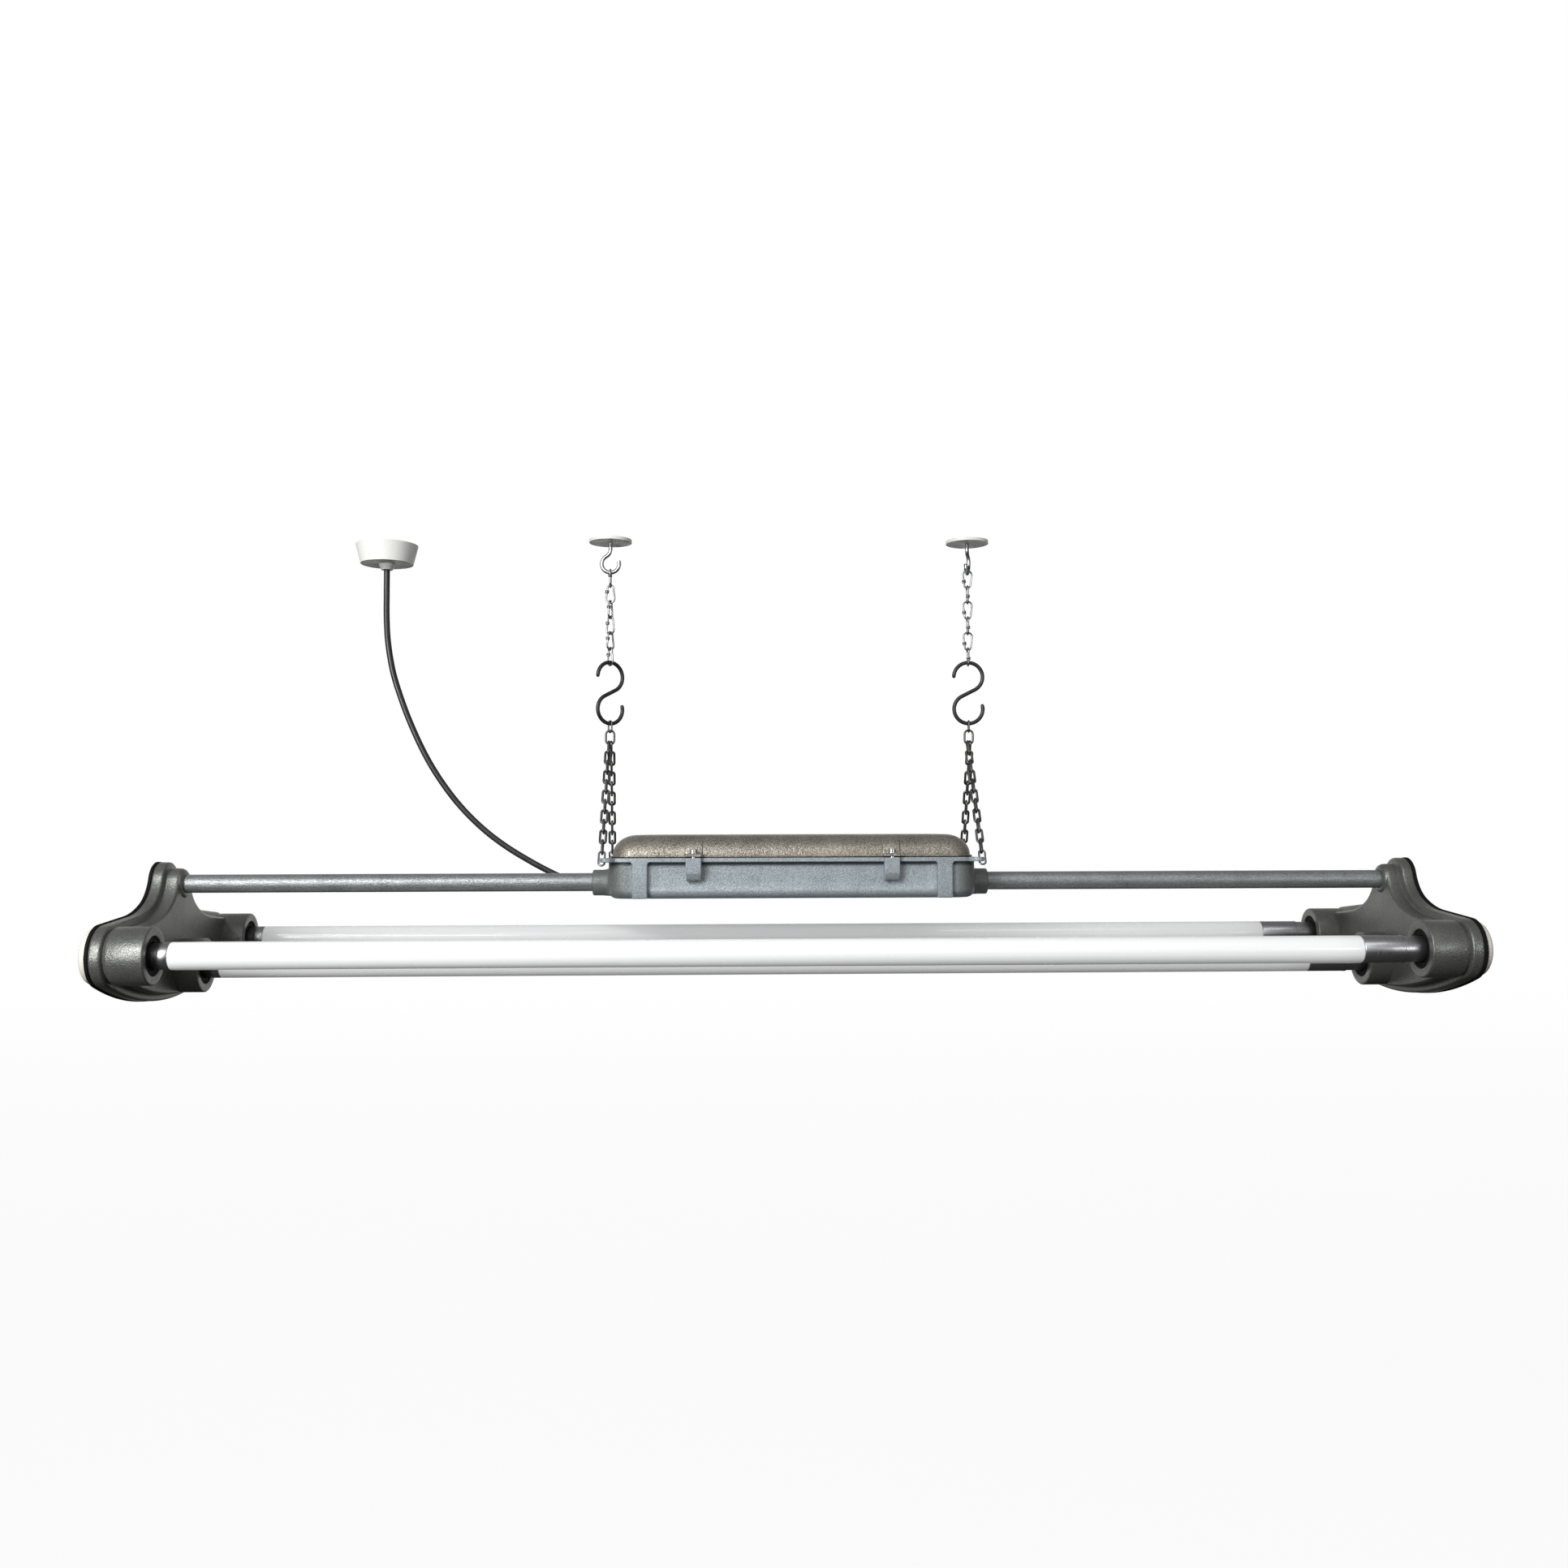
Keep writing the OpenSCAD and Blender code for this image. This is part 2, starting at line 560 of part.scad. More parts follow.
// Wires from the terminal block through each conduit to the lampholders, and one from the gland
module internal_wiring() {
    back_x = bracket_x + bracket_t + 6;
    term_z = tray_z + tray_t + 5;
    color("saddlebrown") hung() {
        both_ends() {
            for (y = [-1, 1]) sweep_tube([
                [12, y * 6, term_z], [12, y * 15, term_z], [16, y * 19, term_z], [100, y * 18, term_z + 1],
                [155, y * 5, pipe_z + 2], [pipe_start_x, y * 4, pipe_z], [pipe_end_x, y * 4, pipe_z],
                [back_x, y * 5, pipe_z - 4], [back_x, y * 9, 34], [back_x, y * 40, 8], [back_x, y * 118, 1],
                [back_x - 3, y * tube_y, 0], [bracket_x - 1, y * tube_y, 0]
            ], 1.2, 6);
            sweep_tube([
                [24, -6, term_z], [24, -12.5, term_z], [30, -14, term_z + 1], [100, -10, term_z + 2],
                [155, 0, pipe_z + 3], [pipe_start_x, 0, pipe_z], [pipe_end_x, 0, pipe_z],
                [back_x, 0, pipe_z - 5], [back_x, 0, 20], [back_x, 0, -12],
                [back_x - 3, 0, -middle_drop], [bracket_x - 1, 0, -middle_drop]
            ], 1.2, 6);
        }
        sweep_tube([
            [-box_l / 2 - 14, gland_y, gland_z], [-box_l / 2 + 10, gland_y, gland_z], [-150, 30, gland_z + 4],
            [-130, 27, gland_z + 7], [-60, 27, term_z + 2], [-6, 27, term_z], [0, 22, term_z], [0, 6, term_z]
        ], 1.4, 6);
    }
}

// ---- Conduits and gland ----

module conduit() {
    color("slategray") hung() difference() {
        along_x(pipe_start_x, pipe_end_x, pipe_r, 0, pipe_z);
        along_x(pipe_start_x - 1, pipe_end_x + 1, pipe_r - 1.2, 0, pipe_z);
    }
}

module conduit_lock_nuts() {
    color("silver") hung() both_ends() for (x = [box_l / 2 - box_wall - 4, cavity_x]) difference() {
        along_x(x, x + 4, 11.8, 0, pipe_z);
        along_x(x - 1, x + 5, pipe_bore_r, 0, pipe_z);
    }
}

module cable_gland() {
    wall_x = -box_l / 2;
    color("lightgray") hung() difference() {
        union() {
            along_x(wall_x - 7, wall_x + box_wall + 6, gland_thread_r, gland_y, gland_z);
            translate([wall_x - 5, gland_y, gland_z]) rotate([0, 90, 0]) cylinder(r = 10.8, h = 5, $fn = 6);
        }
        along_x(wall_x - 8, wall_x + 12, 4.5, gland_y, gland_z);
    }
}

module cable_gland_nut() {
    color("lightgray") hung() translate([-gland_end_x, gland_y, gland_z]) rotate([0, 90, 0]) difference() {
        union() {
            cylinder(r1 = 6, r2 = 9.4, h = 6);
            translate([0, 0, 6]) cylinder(r = 10.4, h = 17, $fn = 6);
        }
        translate([0, 0, 6]) cylinder(r = gland_thread_r + fit_gap, h = 20);
        translate([0, 0, -1]) cylinder(r = cord_d / 2 + 0.25, h = 10);
    }
}

// A point moved along a smooth curve through the route's points
function curve_point(p, i, t) =
    let (a = p[max(i - 1, 0)], b = p[i], c = p[i + 1], d = p[min(i + 2, len(p) - 1)])
    0.5 * (2 * b + (c - a) * t + (2 * a - 5 * b + 4 * c - d) * t * t + (3 * b - a - 3 * c + d) * t * t * t);

function unit(v) = v / norm(v);

// A round tube along points, with one ring of corners at each and its ends square to the end stretches
module sweep_tube(p, r, sides) {
    n = len(p);
    side_dir = unit([0.3, 1, 0.2]);
    dirs = [for (i = [0 : n - 1])
        unit(unit(p[min(i + 1, n - 1)] - p[min(i, n - 2)]) + unit(p[max(i, 1)] - p[max(i - 1, 0)]))];
    rings = [for (i = [0 : n - 1]) let (u = unit(cross(dirs[i], side_dir)), v = cross(dirs[i], u))
        for (k = [0 : sides - 1]) p[i] + r * (cos(360 * k / sides) * u + sin(360 * k / sides) * v)];
    walls = [for (i = [0 : n - 2], k = [0 : sides - 1])
        let (a = i * sides + k, b = i * sides + (k + 1) % sides)
        each [[a, b + sides, b], [a, a + sides, b + sides]]];
    caps = [for (k = [1 : sides - 2]) each [[0, k, k + 1],
        [(n - 1) * sides, (n - 1) * sides + k + 1, (n - 1) * sides + k]]];
    polyhedron(points = rings, faces = concat(walls, caps));
}

module mains_cord() {
    last = len(cord_route) - 1;
    points = [for (i = [0 : last - 1], t = [0, 0.5]) curve_point(cord_route, i, t), cord_route[last]];
    color("black") hung() sweep_tube(points, cord_d / 2, cord_sides);
}

// ---- End fittings ----

function arc(c, r, a0, a1, n) = [for (i = [0 : n]) let (a = a0 + (a1 - a0) * i / n) c + r * [cos(a), sin(a)]];

// Outline of an end fitting in Y and Z, grown outward by grow: neck, flare, shoulder, lobe and belly
module fitting_outline(grow) {
    join_a = atan2(flare_c[1] - pipe_z, flare_c[0]);
    half = concat(
        arc([0, pipe_z], neck_r + grow, 90, join_a, 12),
        arc(flare_c, flare_r - grow, join_a - 180, atan2(flare_dir[1], flare_dir[0]), 8),
        arc(shoulder_c, shoulder_r - grow, atan2(flare_dir[1], flare_dir[0]) + 1, line_angle - 180, 5),
        arc([tube_y, 0], lobe_r + grow, line_angle, atan2(belly_dir[1], belly_dir[0]), 24),
        arc(belly_c, belly_r + grow, atan2(belly_dir[1], belly_dir[0]) - 1, -90, 8)
    );
    last = len(half) - 1;
    polygon(concat(half, [for (i = [last - 1 : -1 : 1]) [-half[i][0], half[i][1]]]));
}

module end_casting() {
    color("darkslategray") hung() difference() {
        union() {
            difference() {
                union() {
                    slab(rim_x, gasket_x) fitting_outline(0);
                    slab(body_x, rim_x) fitting_outline(-rim_step);
                    for (p = tube_places) along_x(ring_x, rim_x, socket_r, p[0], p[1]);
                    along_x(neck_boss_x + 2.5, rim_x, neck_boss_r, 0, pipe_z);
                    translate([neck_boss_x, 0, pipe_z]) rotate([0, 90, 0])
                        cylinder(r1 = neck_boss_r - 3, r2 = neck_boss_r, h = 2.5);
                }
                slab(cavity_x, gasket_x + 1) fitting_outline(-rim_step - cast_wall);
            }
            for (p = cover_screw_places) along_x(body_x + 1, gasket_x - 0.5, screw_boss_r, p[0], p[1]);
            for (p = bracket_screw_places) along_x(body_x + 1, bracket_x, screw_boss_r, p[0], p[1]);
        }
        for (p = tube_places) along_x(ring_x - 1, cavity_x + 1, socket_bore_r, p[0], p[1]);
        along_x(neck_boss_x - 1, cavity_x + 1, pipe_bore_r, 0, pipe_z);
        for (p = cover_screw_places) along_x(cavity_x + 3, gasket_x + 1, cover_screw_r + fit_gap, p[0], p[1]);
        for (p = bracket_screw_places) along_x(body_x + 2, gasket_x, bracket_screw_r + fit_gap, p[0], p[1]);
    }
}

module end_gasket() {
    color("black") hung() difference() {
        slab(gasket_x, cover_x - 0.1) fitting_outline(0.3);
        slab(gasket_x - 1, cover_x + 1) fitting_outline(-8);
    }
}

// Flat cover with a raised round cap behind the front and rear lampholders
module end_cover() {
    wall = 1.8;
    color("linen") hung() difference() {
        union() {
            slab(cover_x, cover_x + cover_t) fitting_outline(-cover_inset);
            for (y = [-1, 1]) translate([cover_x + cover_t - 0.5, y * tube_y, 0]) rotate([0, 90, 0])
                cap_dome(cover_cap_r, cover_cap_h);
        }
        for (y = [-1, 1]) translate([cover_x - eps, y * tube_y, 0]) rotate([0, 90, 0])
            cap_dome(cover_cap_r - wall, cover_cap_h + cover_t - 0.5 - wall);
        for (p = cover_screw_places)
            along_x(cover_x - 1, cover_x + cover_t + 1, cover_screw_r + fit_gap, p[0], p[1]);
    }
}

// A round cap with steep sides and a low crown, its profile a superellipse
module cap_dome(r, h) {
    steps = 8;
    rotate_extrude() polygon(concat([[0, 0]], [for (i = [0 : steps]) let (a = 90 * i / steps)
        [r * pow(cos(a), 0.75), h * pow(sin(a), 0.75)]]));
}

module cover_screws() {
    head_x = cover_x + cover_t;
    color("silver") hung() for (p = cover_screw_places) difference() {
        union() {
            along_x(head_x, head_x + 2.4, 4, p[0], p[1]);
            along_x(gasket_x - 12, head_x + 1, cover_screw_r, p[0], p[1]);
        }
        translate([head_x + 1.4, p[0] - 5, p[1] - 0.5]) cube([2, 10, 1]);
    }
}

// Body of a rotary lampholder: cap recess, rotor pocket and a wire hole behind
module lampholders() {
    front_x = ring_x + 3.5;
    color([0.12, 0.12, 0.12]) hung() for (p = tube_places) difference() {
        along_x(front_x, bracket_x, socket_bore_r - 0.3, p[0], p[1]);
        along_x(front_x - 1, cap_x + 0.6, tube_r + run_gap, p[0], p[1]);
        along_x(cap_x, cap_x + 9, 10, p[0], p[1]);
        along_x(bracket_x - 6, bracket_x + 1, 4, p[0], p[1]);
    }
}

module bracket_outline() {
    difference() {
        union() {
            for (p = tube_places) translate(p) circle(15);
            translate([-tube_y, -8]) square([2 * tube_y, 16]);
        }
        for (p = tube_places) translate(p) circle(4.5);
        for (p = bracket_screw_places) translate(p) circle(bracket_screw_r + 0.3);
    }
}

module holder_brackets() {
    color("gainsboro") hung() both_ends() slab(bracket_x, bracket_x + bracket_t) bracket_outline();
}

module bracket_screws() {
    color("silver") hung() both_ends() for (p = bracket_screw_places) {
        along_x(bracket_x + bracket_t, bracket_x + bracket_t + 2, 3, p[0], p[1]);
        along_x(body_x + 2.5, bracket_x + bracket_t + 1, bracket_screw_r, p[0], p[1]);
    }
}

module socket_seals() {
    color("black") hung() both_ends() for (p = tube_places) difference() {
        along_x(ring_x + 1.5, ring_x + 3.5, socket_bore_r - fit_gap, p[0], p[1]);
        along_x(ring_x, ring_x + 5, tube_r + run_gap, p[0], p[1]);
    }
}

// ---- Tubes ----

module tube_glass(p) {
    x0 = -cap_x + plain_cap_l;
    x1 = cap_x - driver_cap_l;
    color("white") hung() difference() {
        along_x(x0, x1, tube_r, p[0], p[1]);
        along_x(x0 - 1, x1 + 1, tube_r - 0.9, p[0], p[1]);
    }
}

// The plain cap on the left and the longer driver cap on the right, each with a spigot inside the glass
module tube_caps(p) {
    spigot_r = tube_r - 0.9 - fit_gap;
    x0 = -cap_x + plain_cap_l;
    x1 = cap_x - driver_cap_l;
    color("silver") hung() {
        difference() {
            union() {
                along_x(-cap_x, x0, tube_r, p[0], p[1]);
                along_x(x0 - 1, x0 + 5, spigot_r, p[0], p[1]);
            }
            along_x(-cap_x + 1, x0 + 6, spigot_r - 0.8, p[0], p[1]);
            cap_pin_holes(-1, p);
        }
        difference() {
            union() {
                along_x(x1, cap_x - 20, tube_r, p[0], p[1]);
                along_x(cap_x - 21, cap_x, tube_r - 0.4, p[0], p[1]);
                along_x(x1 - 5, x1 + 1, spigot_r, p[0], p[1]);
            }
            along_x(x1 - 6, cap_x - 1, spigot_r - 0.8, p[0], p[1]);
            cap_pin_holes(1, p);
        }
    }
}

module cap_pin_holes(side, p) {
    for (y = [-1, 1]) translate([side * cap_x - 3, p[0] + y * pin_gap / 2, p[1]]) rotate([0, 90, 0])
        cylinder(r = pin_d / 2 + fit_gap, h = 6);
}

module tube_pins(p) {
    color("gold") hung() both_ends() for (y = [-1, 1])
        along_x(cap_x - 3, cap_x + 7, pin_d / 2, p[0] + y * pin_gap / 2, p[1]);
}

// The strip that carries the light-emitting chips, and the driver inside the long cap
module led_board(p) {
    board_w = 12;
    x0 = -cap_x + plain_cap_l + 8;
    x1 = cap_x - driver_cap_l - 8;
    color("khaki") hung() {
        translate([x0, p[0] - board_w / 2, p[1] + 7]) cube([x1 - x0, board_w, 1.6]);
        translate([x1 + 4, p[0] - 8, p[1] - 4]) cube([56, 16, 8]);
    }
}

// The turning part of a lampholder, slotted for the pins
module rotors(p) {
    color([0.2, 0.2, 0.2]) hung() both_ends() difference() {
        along_x(cap_x + 0.8, cap_x + 8.4, 10 - run_gap, p[0], p[1]);
        translate([cap_x, p[0] - 8.5, p[1] - pin_d / 2 - 0.1]) cube([7.4, 17, pin_d + 0.2]);
    }
}

// ---- Nodes ----

hook_plate(-1);  // hook_plate_left
hook_plate(1);  // hook_plate_right
ceiling_hook(-1, 0);  // ceiling_hook_left
ceiling_hook(1, 90);  // ceiling_hook_right
rose_base();
rose_cover();
rose_cord_grip();
upper_chain(-1, 1, 10.4, true);  // upper_chain_left
upper_chain(1, 0, 0, false);  // upper_chain_right
s_hook(-1, s_hook_turn[0]);  // s_hook_left
s_hook(1, s_hook_turn[1]);  // s_hook_right
joining_links();
lower_chain(-1, -1);  // lower_chain_front_left
lower_chain(-1, 1);  // lower_chain_rear_left
lower_chain(1, -1);  // lower_chain_front_right
lower_chain(1, 1);  // lower_chain_rear_right
lug_rings();
gear_box();
lid_gasket();
gear_tray();
tray_screws();
terminal_block();
internal_wiring();
mirror([1, 0, 0]) conduit();  // conduit_left
conduit();  // conduit_right
conduit_lock_nuts();
cable_gland();
cable_gland_nut();
mains_cord();
mirror([1, 0, 0]) end_casting();  // end_casting_left
end_casting();  // end_casting_right
mirror([1, 0, 0]) end_gasket();  // end_gasket_left
end_gasket();  // end_gasket_right
mirror([1, 0, 0]) lampholders();  // lampholders_left
lampholders();  // lampholders_right
holder_brackets();
bracket_screws();
socket_seals();
lid();
lid_screws();
mirror([1, 0, 0]) end_cover();  // end_cover_left
end_cover();  // end_cover_right
mirror([1, 0, 0]) cover_screws();  // cover_screws_left
cover_screws();  // cover_screws_right
tube_glass(tube_places[0]);  // front_tube_glass
tube_caps(tube_places[0]);  // front_tube_caps
tube_pins(tube_places[0]);  // front_tube_pins
led_board(tube_places[0]);  // front_led_board
rotors(tube_places[0]);  // front_rotors
tube_glass(tube_places[1]);  // middle_tube_glass
tube_caps(tube_places[1]);  // middle_tube_caps
tube_pins(tube_places[1]);  // middle_tube_pins
led_board(tube_places[1]);  // middle_led_board
rotors(tube_places[1]);  // middle_rotors
tube_glass(tube_places[2]);  // rear_tube_glass
tube_caps(tube_places[2]);  // rear_tube_caps
tube_pins(tube_places[2]);  // rear_tube_pins
led_board(tube_places[2]);  // rear_led_board
rotors(tube_places[2]);  // rear_rotors
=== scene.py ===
import json
import math

import bpy
import numpy as np
from mathutils import Matrix, Vector


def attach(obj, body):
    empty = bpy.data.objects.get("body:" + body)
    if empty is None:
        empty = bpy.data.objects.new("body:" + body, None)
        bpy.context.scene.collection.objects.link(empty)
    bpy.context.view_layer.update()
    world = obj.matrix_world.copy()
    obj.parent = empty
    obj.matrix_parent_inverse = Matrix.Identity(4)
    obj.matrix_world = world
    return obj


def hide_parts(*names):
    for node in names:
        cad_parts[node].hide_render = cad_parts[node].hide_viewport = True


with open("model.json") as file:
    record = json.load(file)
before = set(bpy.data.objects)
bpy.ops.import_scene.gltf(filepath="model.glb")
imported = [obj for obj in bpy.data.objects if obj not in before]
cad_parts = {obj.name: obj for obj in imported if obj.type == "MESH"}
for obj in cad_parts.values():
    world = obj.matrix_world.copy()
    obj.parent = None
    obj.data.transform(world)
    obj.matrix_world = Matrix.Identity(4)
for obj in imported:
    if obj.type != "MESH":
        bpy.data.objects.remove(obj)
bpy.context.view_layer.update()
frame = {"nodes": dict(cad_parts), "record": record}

# Sizes are in millimetres from the axes of the front and rear tubes, which hang tubeDrop under the ceiling.
tubeDrop = 418.0
tubePlaces = {"front": (-130.0, 0.0), "middle": (0.0, -19.0), "rear": (130.0, 0.0)}
conduitZ = 63.5
bothSides = {"left": -1, "right": 1}
fourCorners = [(-1, -1), (-1, 1), (1, -1), (1, 1)]


def place(points):
    # millimetres over the tube axes, less the drop and divided by 1000: metres under the ceiling
    return (np.asarray(points, float) - [0.0, 0.0, tubeDrop]) / 1000.0


cameraFit = {"spot": (-53.67, -1461.08, 98.50), "yaw": 1.847, "pitch": 2.566, "roll": -0.192, "focal": 1741.95}
photoWidth = 1932


def addCamera(fit):
    # the view direction from yaw and pitch, then the level and upright directions turned by the roll
    yaw, pitch, roll = (math.radians(fit[k]) for k in ("yaw", "pitch", "roll"))
    look = Vector((math.sin(yaw) * math.cos(pitch), math.cos(yaw) * math.cos(pitch), math.sin(pitch)))
    level = Vector((math.cos(yaw), -math.sin(yaw), 0.0))
    over = level.cross(look)
    right = math.cos(roll) * level + math.sin(roll) * over
    up = math.cos(roll) * over - math.sin(roll) * level
    data = bpy.data.cameras.new("camera")
    data.lens, data.sensor_width = 36.0 * fit["focal"] / photoWidth, 36.0
    data.clip_start, data.clip_end = 0.01, 60.0
    camera = bpy.data.objects.new("camera", data)
    bpy.context.scene.collection.objects.link(camera)
    turn = Matrix((right, up, -look)).transposed().to_4x4()
    camera.matrix_world = Matrix.Translation(Vector(place(fit["spot"]))) @ turn
    bpy.context.scene.camera = camera


addCamera(cameraFit)
print("camera placed")


def addPiece(name, parts, body, slotName, replaced, sharp):
    # parts are (points, faces) pairs in millimetres; each part's faces are shifted by the points before it;
    # edges that turn by more than sharp degrees stay sharp
    points, faces, start = [], [], 0
    for partPoints, partFaces in parts:
        points.append(partPoints)
        for block in partFaces:
            faces += (block + start).tolist()
        start += len(partPoints)
    mesh = bpy.data.meshes.new(name)
    mesh.from_pydata(place(np.concatenate(points)).tolist(), [], faces)
    mesh.shade_smooth()
    mesh.set_sharp_from_angle(angle=math.radians(sharp))
    mesh.materials.append(paints[slotName])
    mesh.validate()
    piece = bpy.data.objects.new(name, mesh)
    bpy.context.scene.collection.objects.link(piece)
    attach(piece, body)
    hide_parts(*replaced)
    return piece


def skin(rings, ends="cap"):
    # rings[i, j] is point j of ring i, and each ring is closed. Four-sided faces join each ring to the next;
    # the ends are fans to the end rings' middles, or the last ring is joined to the first.
    rings = np.asarray(rings, float)
    m, n = rings.shape[:2]
    i, j = np.meshgrid(np.arange(m if ends == "join" else m - 1), np.arange(n), indexing="ij")
    a, b = i * n + j, i * n + (j + 1) % n
    c, d = ((i + 1) % m) * n + (j + 1) % n, ((i + 1) % m) * n + j
    faces = [np.stack([a, b, c, d], -1).reshape(-1, 4)]
    points = rings.reshape(-1, 3)
    if ends == "cap":
        points = np.concatenate([points, rings[0].mean(0)[None], rings[-1].mean(0)[None]])
        k, base = np.arange(n), (m - 1) * n
        first, last = len(points) - 2, len(points) - 1
        faces.append(np.stack([(k + 1) % n, k, np.full(n, first)], -1))
        faces.append(np.stack([base + k, base + (k + 1) % n, np.full(n, last)], -1))
    # a sum of p . (q x r) over the triangles, six times the volume, is below zero where they point inwards
    fans = [block[:, [0, k, k + 1]] for block in faces for k in range(1, block.shape[1] - 1)]
    p, q, r = points[np.concatenate(fans)].transpose(1, 0, 2)
    if np.einsum("ij,ij->i", p, np.cross(q, r)).sum() < 0:
        faces = turnedOver(faces)
    return points, faces


def turnedOver(faces):
    return [block[:, ::-1] for block in faces]


def lathe(profile, y, z, axis="x", sides=64, ends="join"):
    # a profile of (distance along the axis, radius) turned about a line through (y, z): each ring is the
    # radius times the cosine and sine of an even turn
    along, radius = np.asarray(profile, float).T
    turn = np.linspace(0, 2 * np.pi, sides, endpoint=False)
    c, s = np.cos(turn)[None, :] * radius[:, None], np.sin(turn)[None, :] * radius[:, None]
    along = np.repeat(along[:, None], sides, 1)
    if axis == "x":
        rings = np.stack([along, c + y, s + z], -1)
    else:
        rings = np.stack([c + y, s + z, along], -1)
    return skin(rings, ends)


def bend(centre, radius, start, stop, count):
    # an arc in a plane: the centre plus the radius times the cosine and sine of an even sweep, in degrees
    a = np.radians(np.linspace(start, stop, count))
    return np.asarray(centre, float) + radius * np.stack([np.cos(a), np.sin(a)], -1)


def roundRect(length, width, radius, corner=10, straight=4):
    # a rectangle whose corners are quarter circles, with even steps on the straights between them, so that
    # it has the same number of points at any size
    middles = np.array([(1, 1), (-1, 1), (-1, -1), (1, -1)]) * [length / 2 - radius, width / 2 - radius]
    arcs = [bend(centre, radius, 90 * k, 90 * k + 90, corner) for k, centre in enumerate(middles)]
    t = np.linspace(0, 1, straight + 2)[1:-1, None]
    out = []
    for arc, after in zip(arcs, arcs[1:] + arcs[:1]):
        out += [arc, arc[-1] + (after[0] - arc[-1]) * t]
    return np.concatenate(out)


def levelRing(outline, z):
    # an outline's (x, y) at one height
    return np.column_stack([outline, np.full(len(outline), z)])


def frames(path, closed=False):
    # two side directions at each point of a path: the side before, less its part along the path, made unit
    path = np.asarray(path, float)
    if closed:
        along = np.roll(path, -1, 0) - np.roll(path, 1, 0)
    else:
        along = np.gradient(path, axis=0)
    along /= np.linalg.norm(along, axis=1)[:, None]
    start = np.cross(along[0], [0.31, 0.87, 0.38])
    side = [start / np.linalg.norm(start)]
    for t in along[1:]:
        u = side[-1] - t * side[-1].dot(t)
        side.append(u / np.linalg.norm(u))
    side = np.array(side)
    return side, np.cross(along, side)


def tube(path, radius, sides=16, closed=False, square=0.0):
    # each point of the path plus the radius times cosine and sine along its two sides; square raises the
    # power of the section's superellipse from 2, a circle, towards a square
    side, over = frames(path, closed)
    a = np.linspace(0, 2 * np.pi, sides, endpoint=False)
    c, s = np.cos(a), np.sin(a)
    if square:
        power = 2 + 6 * square
        grow = (np.abs(c) ** power + np.abs(s) ** power) ** (-1 / power)
        c, s = c * grow, s * grow
    radius = np.broadcast_to(np.asarray(radius, float), (len(path),))[:, None, None]
    rings = np.asarray(path, float)[:, None, :] + radius * (
        side[:, None, :] * c[None, :, None] + over[:, None, :] * s[None, :, None]
    )
    return skin(rings, "join" if closed else "cap")


def smoothPath(points, steps):
    # a Catmull-Rom curve: between two points, the cubic whose slope at each is half the step from the point
    # before it to the point after it
    p = np.asarray(points, float)
    p = np.concatenate([2 * p[:1] - p[1:2], p, 2 * p[-1:] - p[-2:-1]])
    t = np.linspace(0, 1, steps, endpoint=False)[:, None]
    out = []
    for a, b, c, d in zip(p[:-3], p[1:-2], p[2:-1], p[3:]):
        out.append(0.5 * (2 * b + (c - a) * t + (2 * a - 5 * b + 4 * c - d) * t**2 + (3 * b - a - 3 * c + d) * t**3))
    return np.concatenate(out + [p[-2:-1]])


def turned(points, degrees, axis="z"):
    # points times the rotation matrix of one axis
    a = math.radians(degrees)
    c, s = math.cos(a), math.sin(a)
    turn = {
        "z": [[c, -s, 0], [s, c, 0], [0, 0, 1]],
        "y": [[c, 0, s], [0, 1, 0], [-s, 0, c]],
        "x": [[1, 0, 0], [0, c, -s], [0, s, c]],
    }[axis]
    return np.asarray(points, float) @ np.array(turn).T


def nodeGroup(name, inputs, outputs):
    # inputs are (label, socket type, value), outputs (label, socket type)
    group = bpy.data.node_groups.new(name, "ShaderNodeTree")
    for label, kind, value in inputs:
        socket = group.interface.new_socket(label, in_out="INPUT", socket_type=kind)
        socket.default_value = value
    for label, kind in outputs:
        group.interface.new_socket(label, in_out="OUTPUT", socket_type=kind)
    return group, group.nodes.new("NodeGroupInput"), group.nodes.new("NodeGroupOutput")


def noise(tree, scale, detail, rough, distortion, vector):
    # soft clouds from 0 to 1, about 1/scale metres wide; the scale is a number or a socket
    node = tree.nodes.new("ShaderNodeTexNoise")
    node.inputs["Detail"].default_value = detail
    node.inputs["Roughness"].default_value = rough
    node.inputs["Distortion"].default_value = distortion
    if isinstance(scale, (int, float)):
        node.inputs["Scale"].default_value = scale
    else:
        tree.links.new(scale, node.inputs["Scale"])
    tree.links.new(vector, node.inputs["Vector"])
    return node.outputs["Fac"]


def span(tree, value, low, high, toLow=0.0, toHigh=1.0):
    # a smooth step from toLow, where the value is low, to toHigh, where it is high
    node = tree.nodes.new("ShaderNodeMapRange")
    node.interpolation_type = "SMOOTHSTEP"
    for label, number in (("From Min", low), ("From Max", high), ("To Min", toLow), ("To Max", toHigh)):
        node.inputs[label].default_value = number
    tree.links.new(value, node.inputs["Value"])
    return node.outputs["Result"]


def maths(tree, kind, a, b=None):
    # one operation on one or two values, each a number or a socket
    node = tree.nodes.new("ShaderNodeMath")
    node.operation = kind
    for k, value in enumerate((a, b)):
        if value is None:
            continue
        if isinstance(value, (int, float)):
            node.inputs[k].default_value = value
        else:
            tree.links.new(value, node.inputs[k])
    return node.outputs[0]


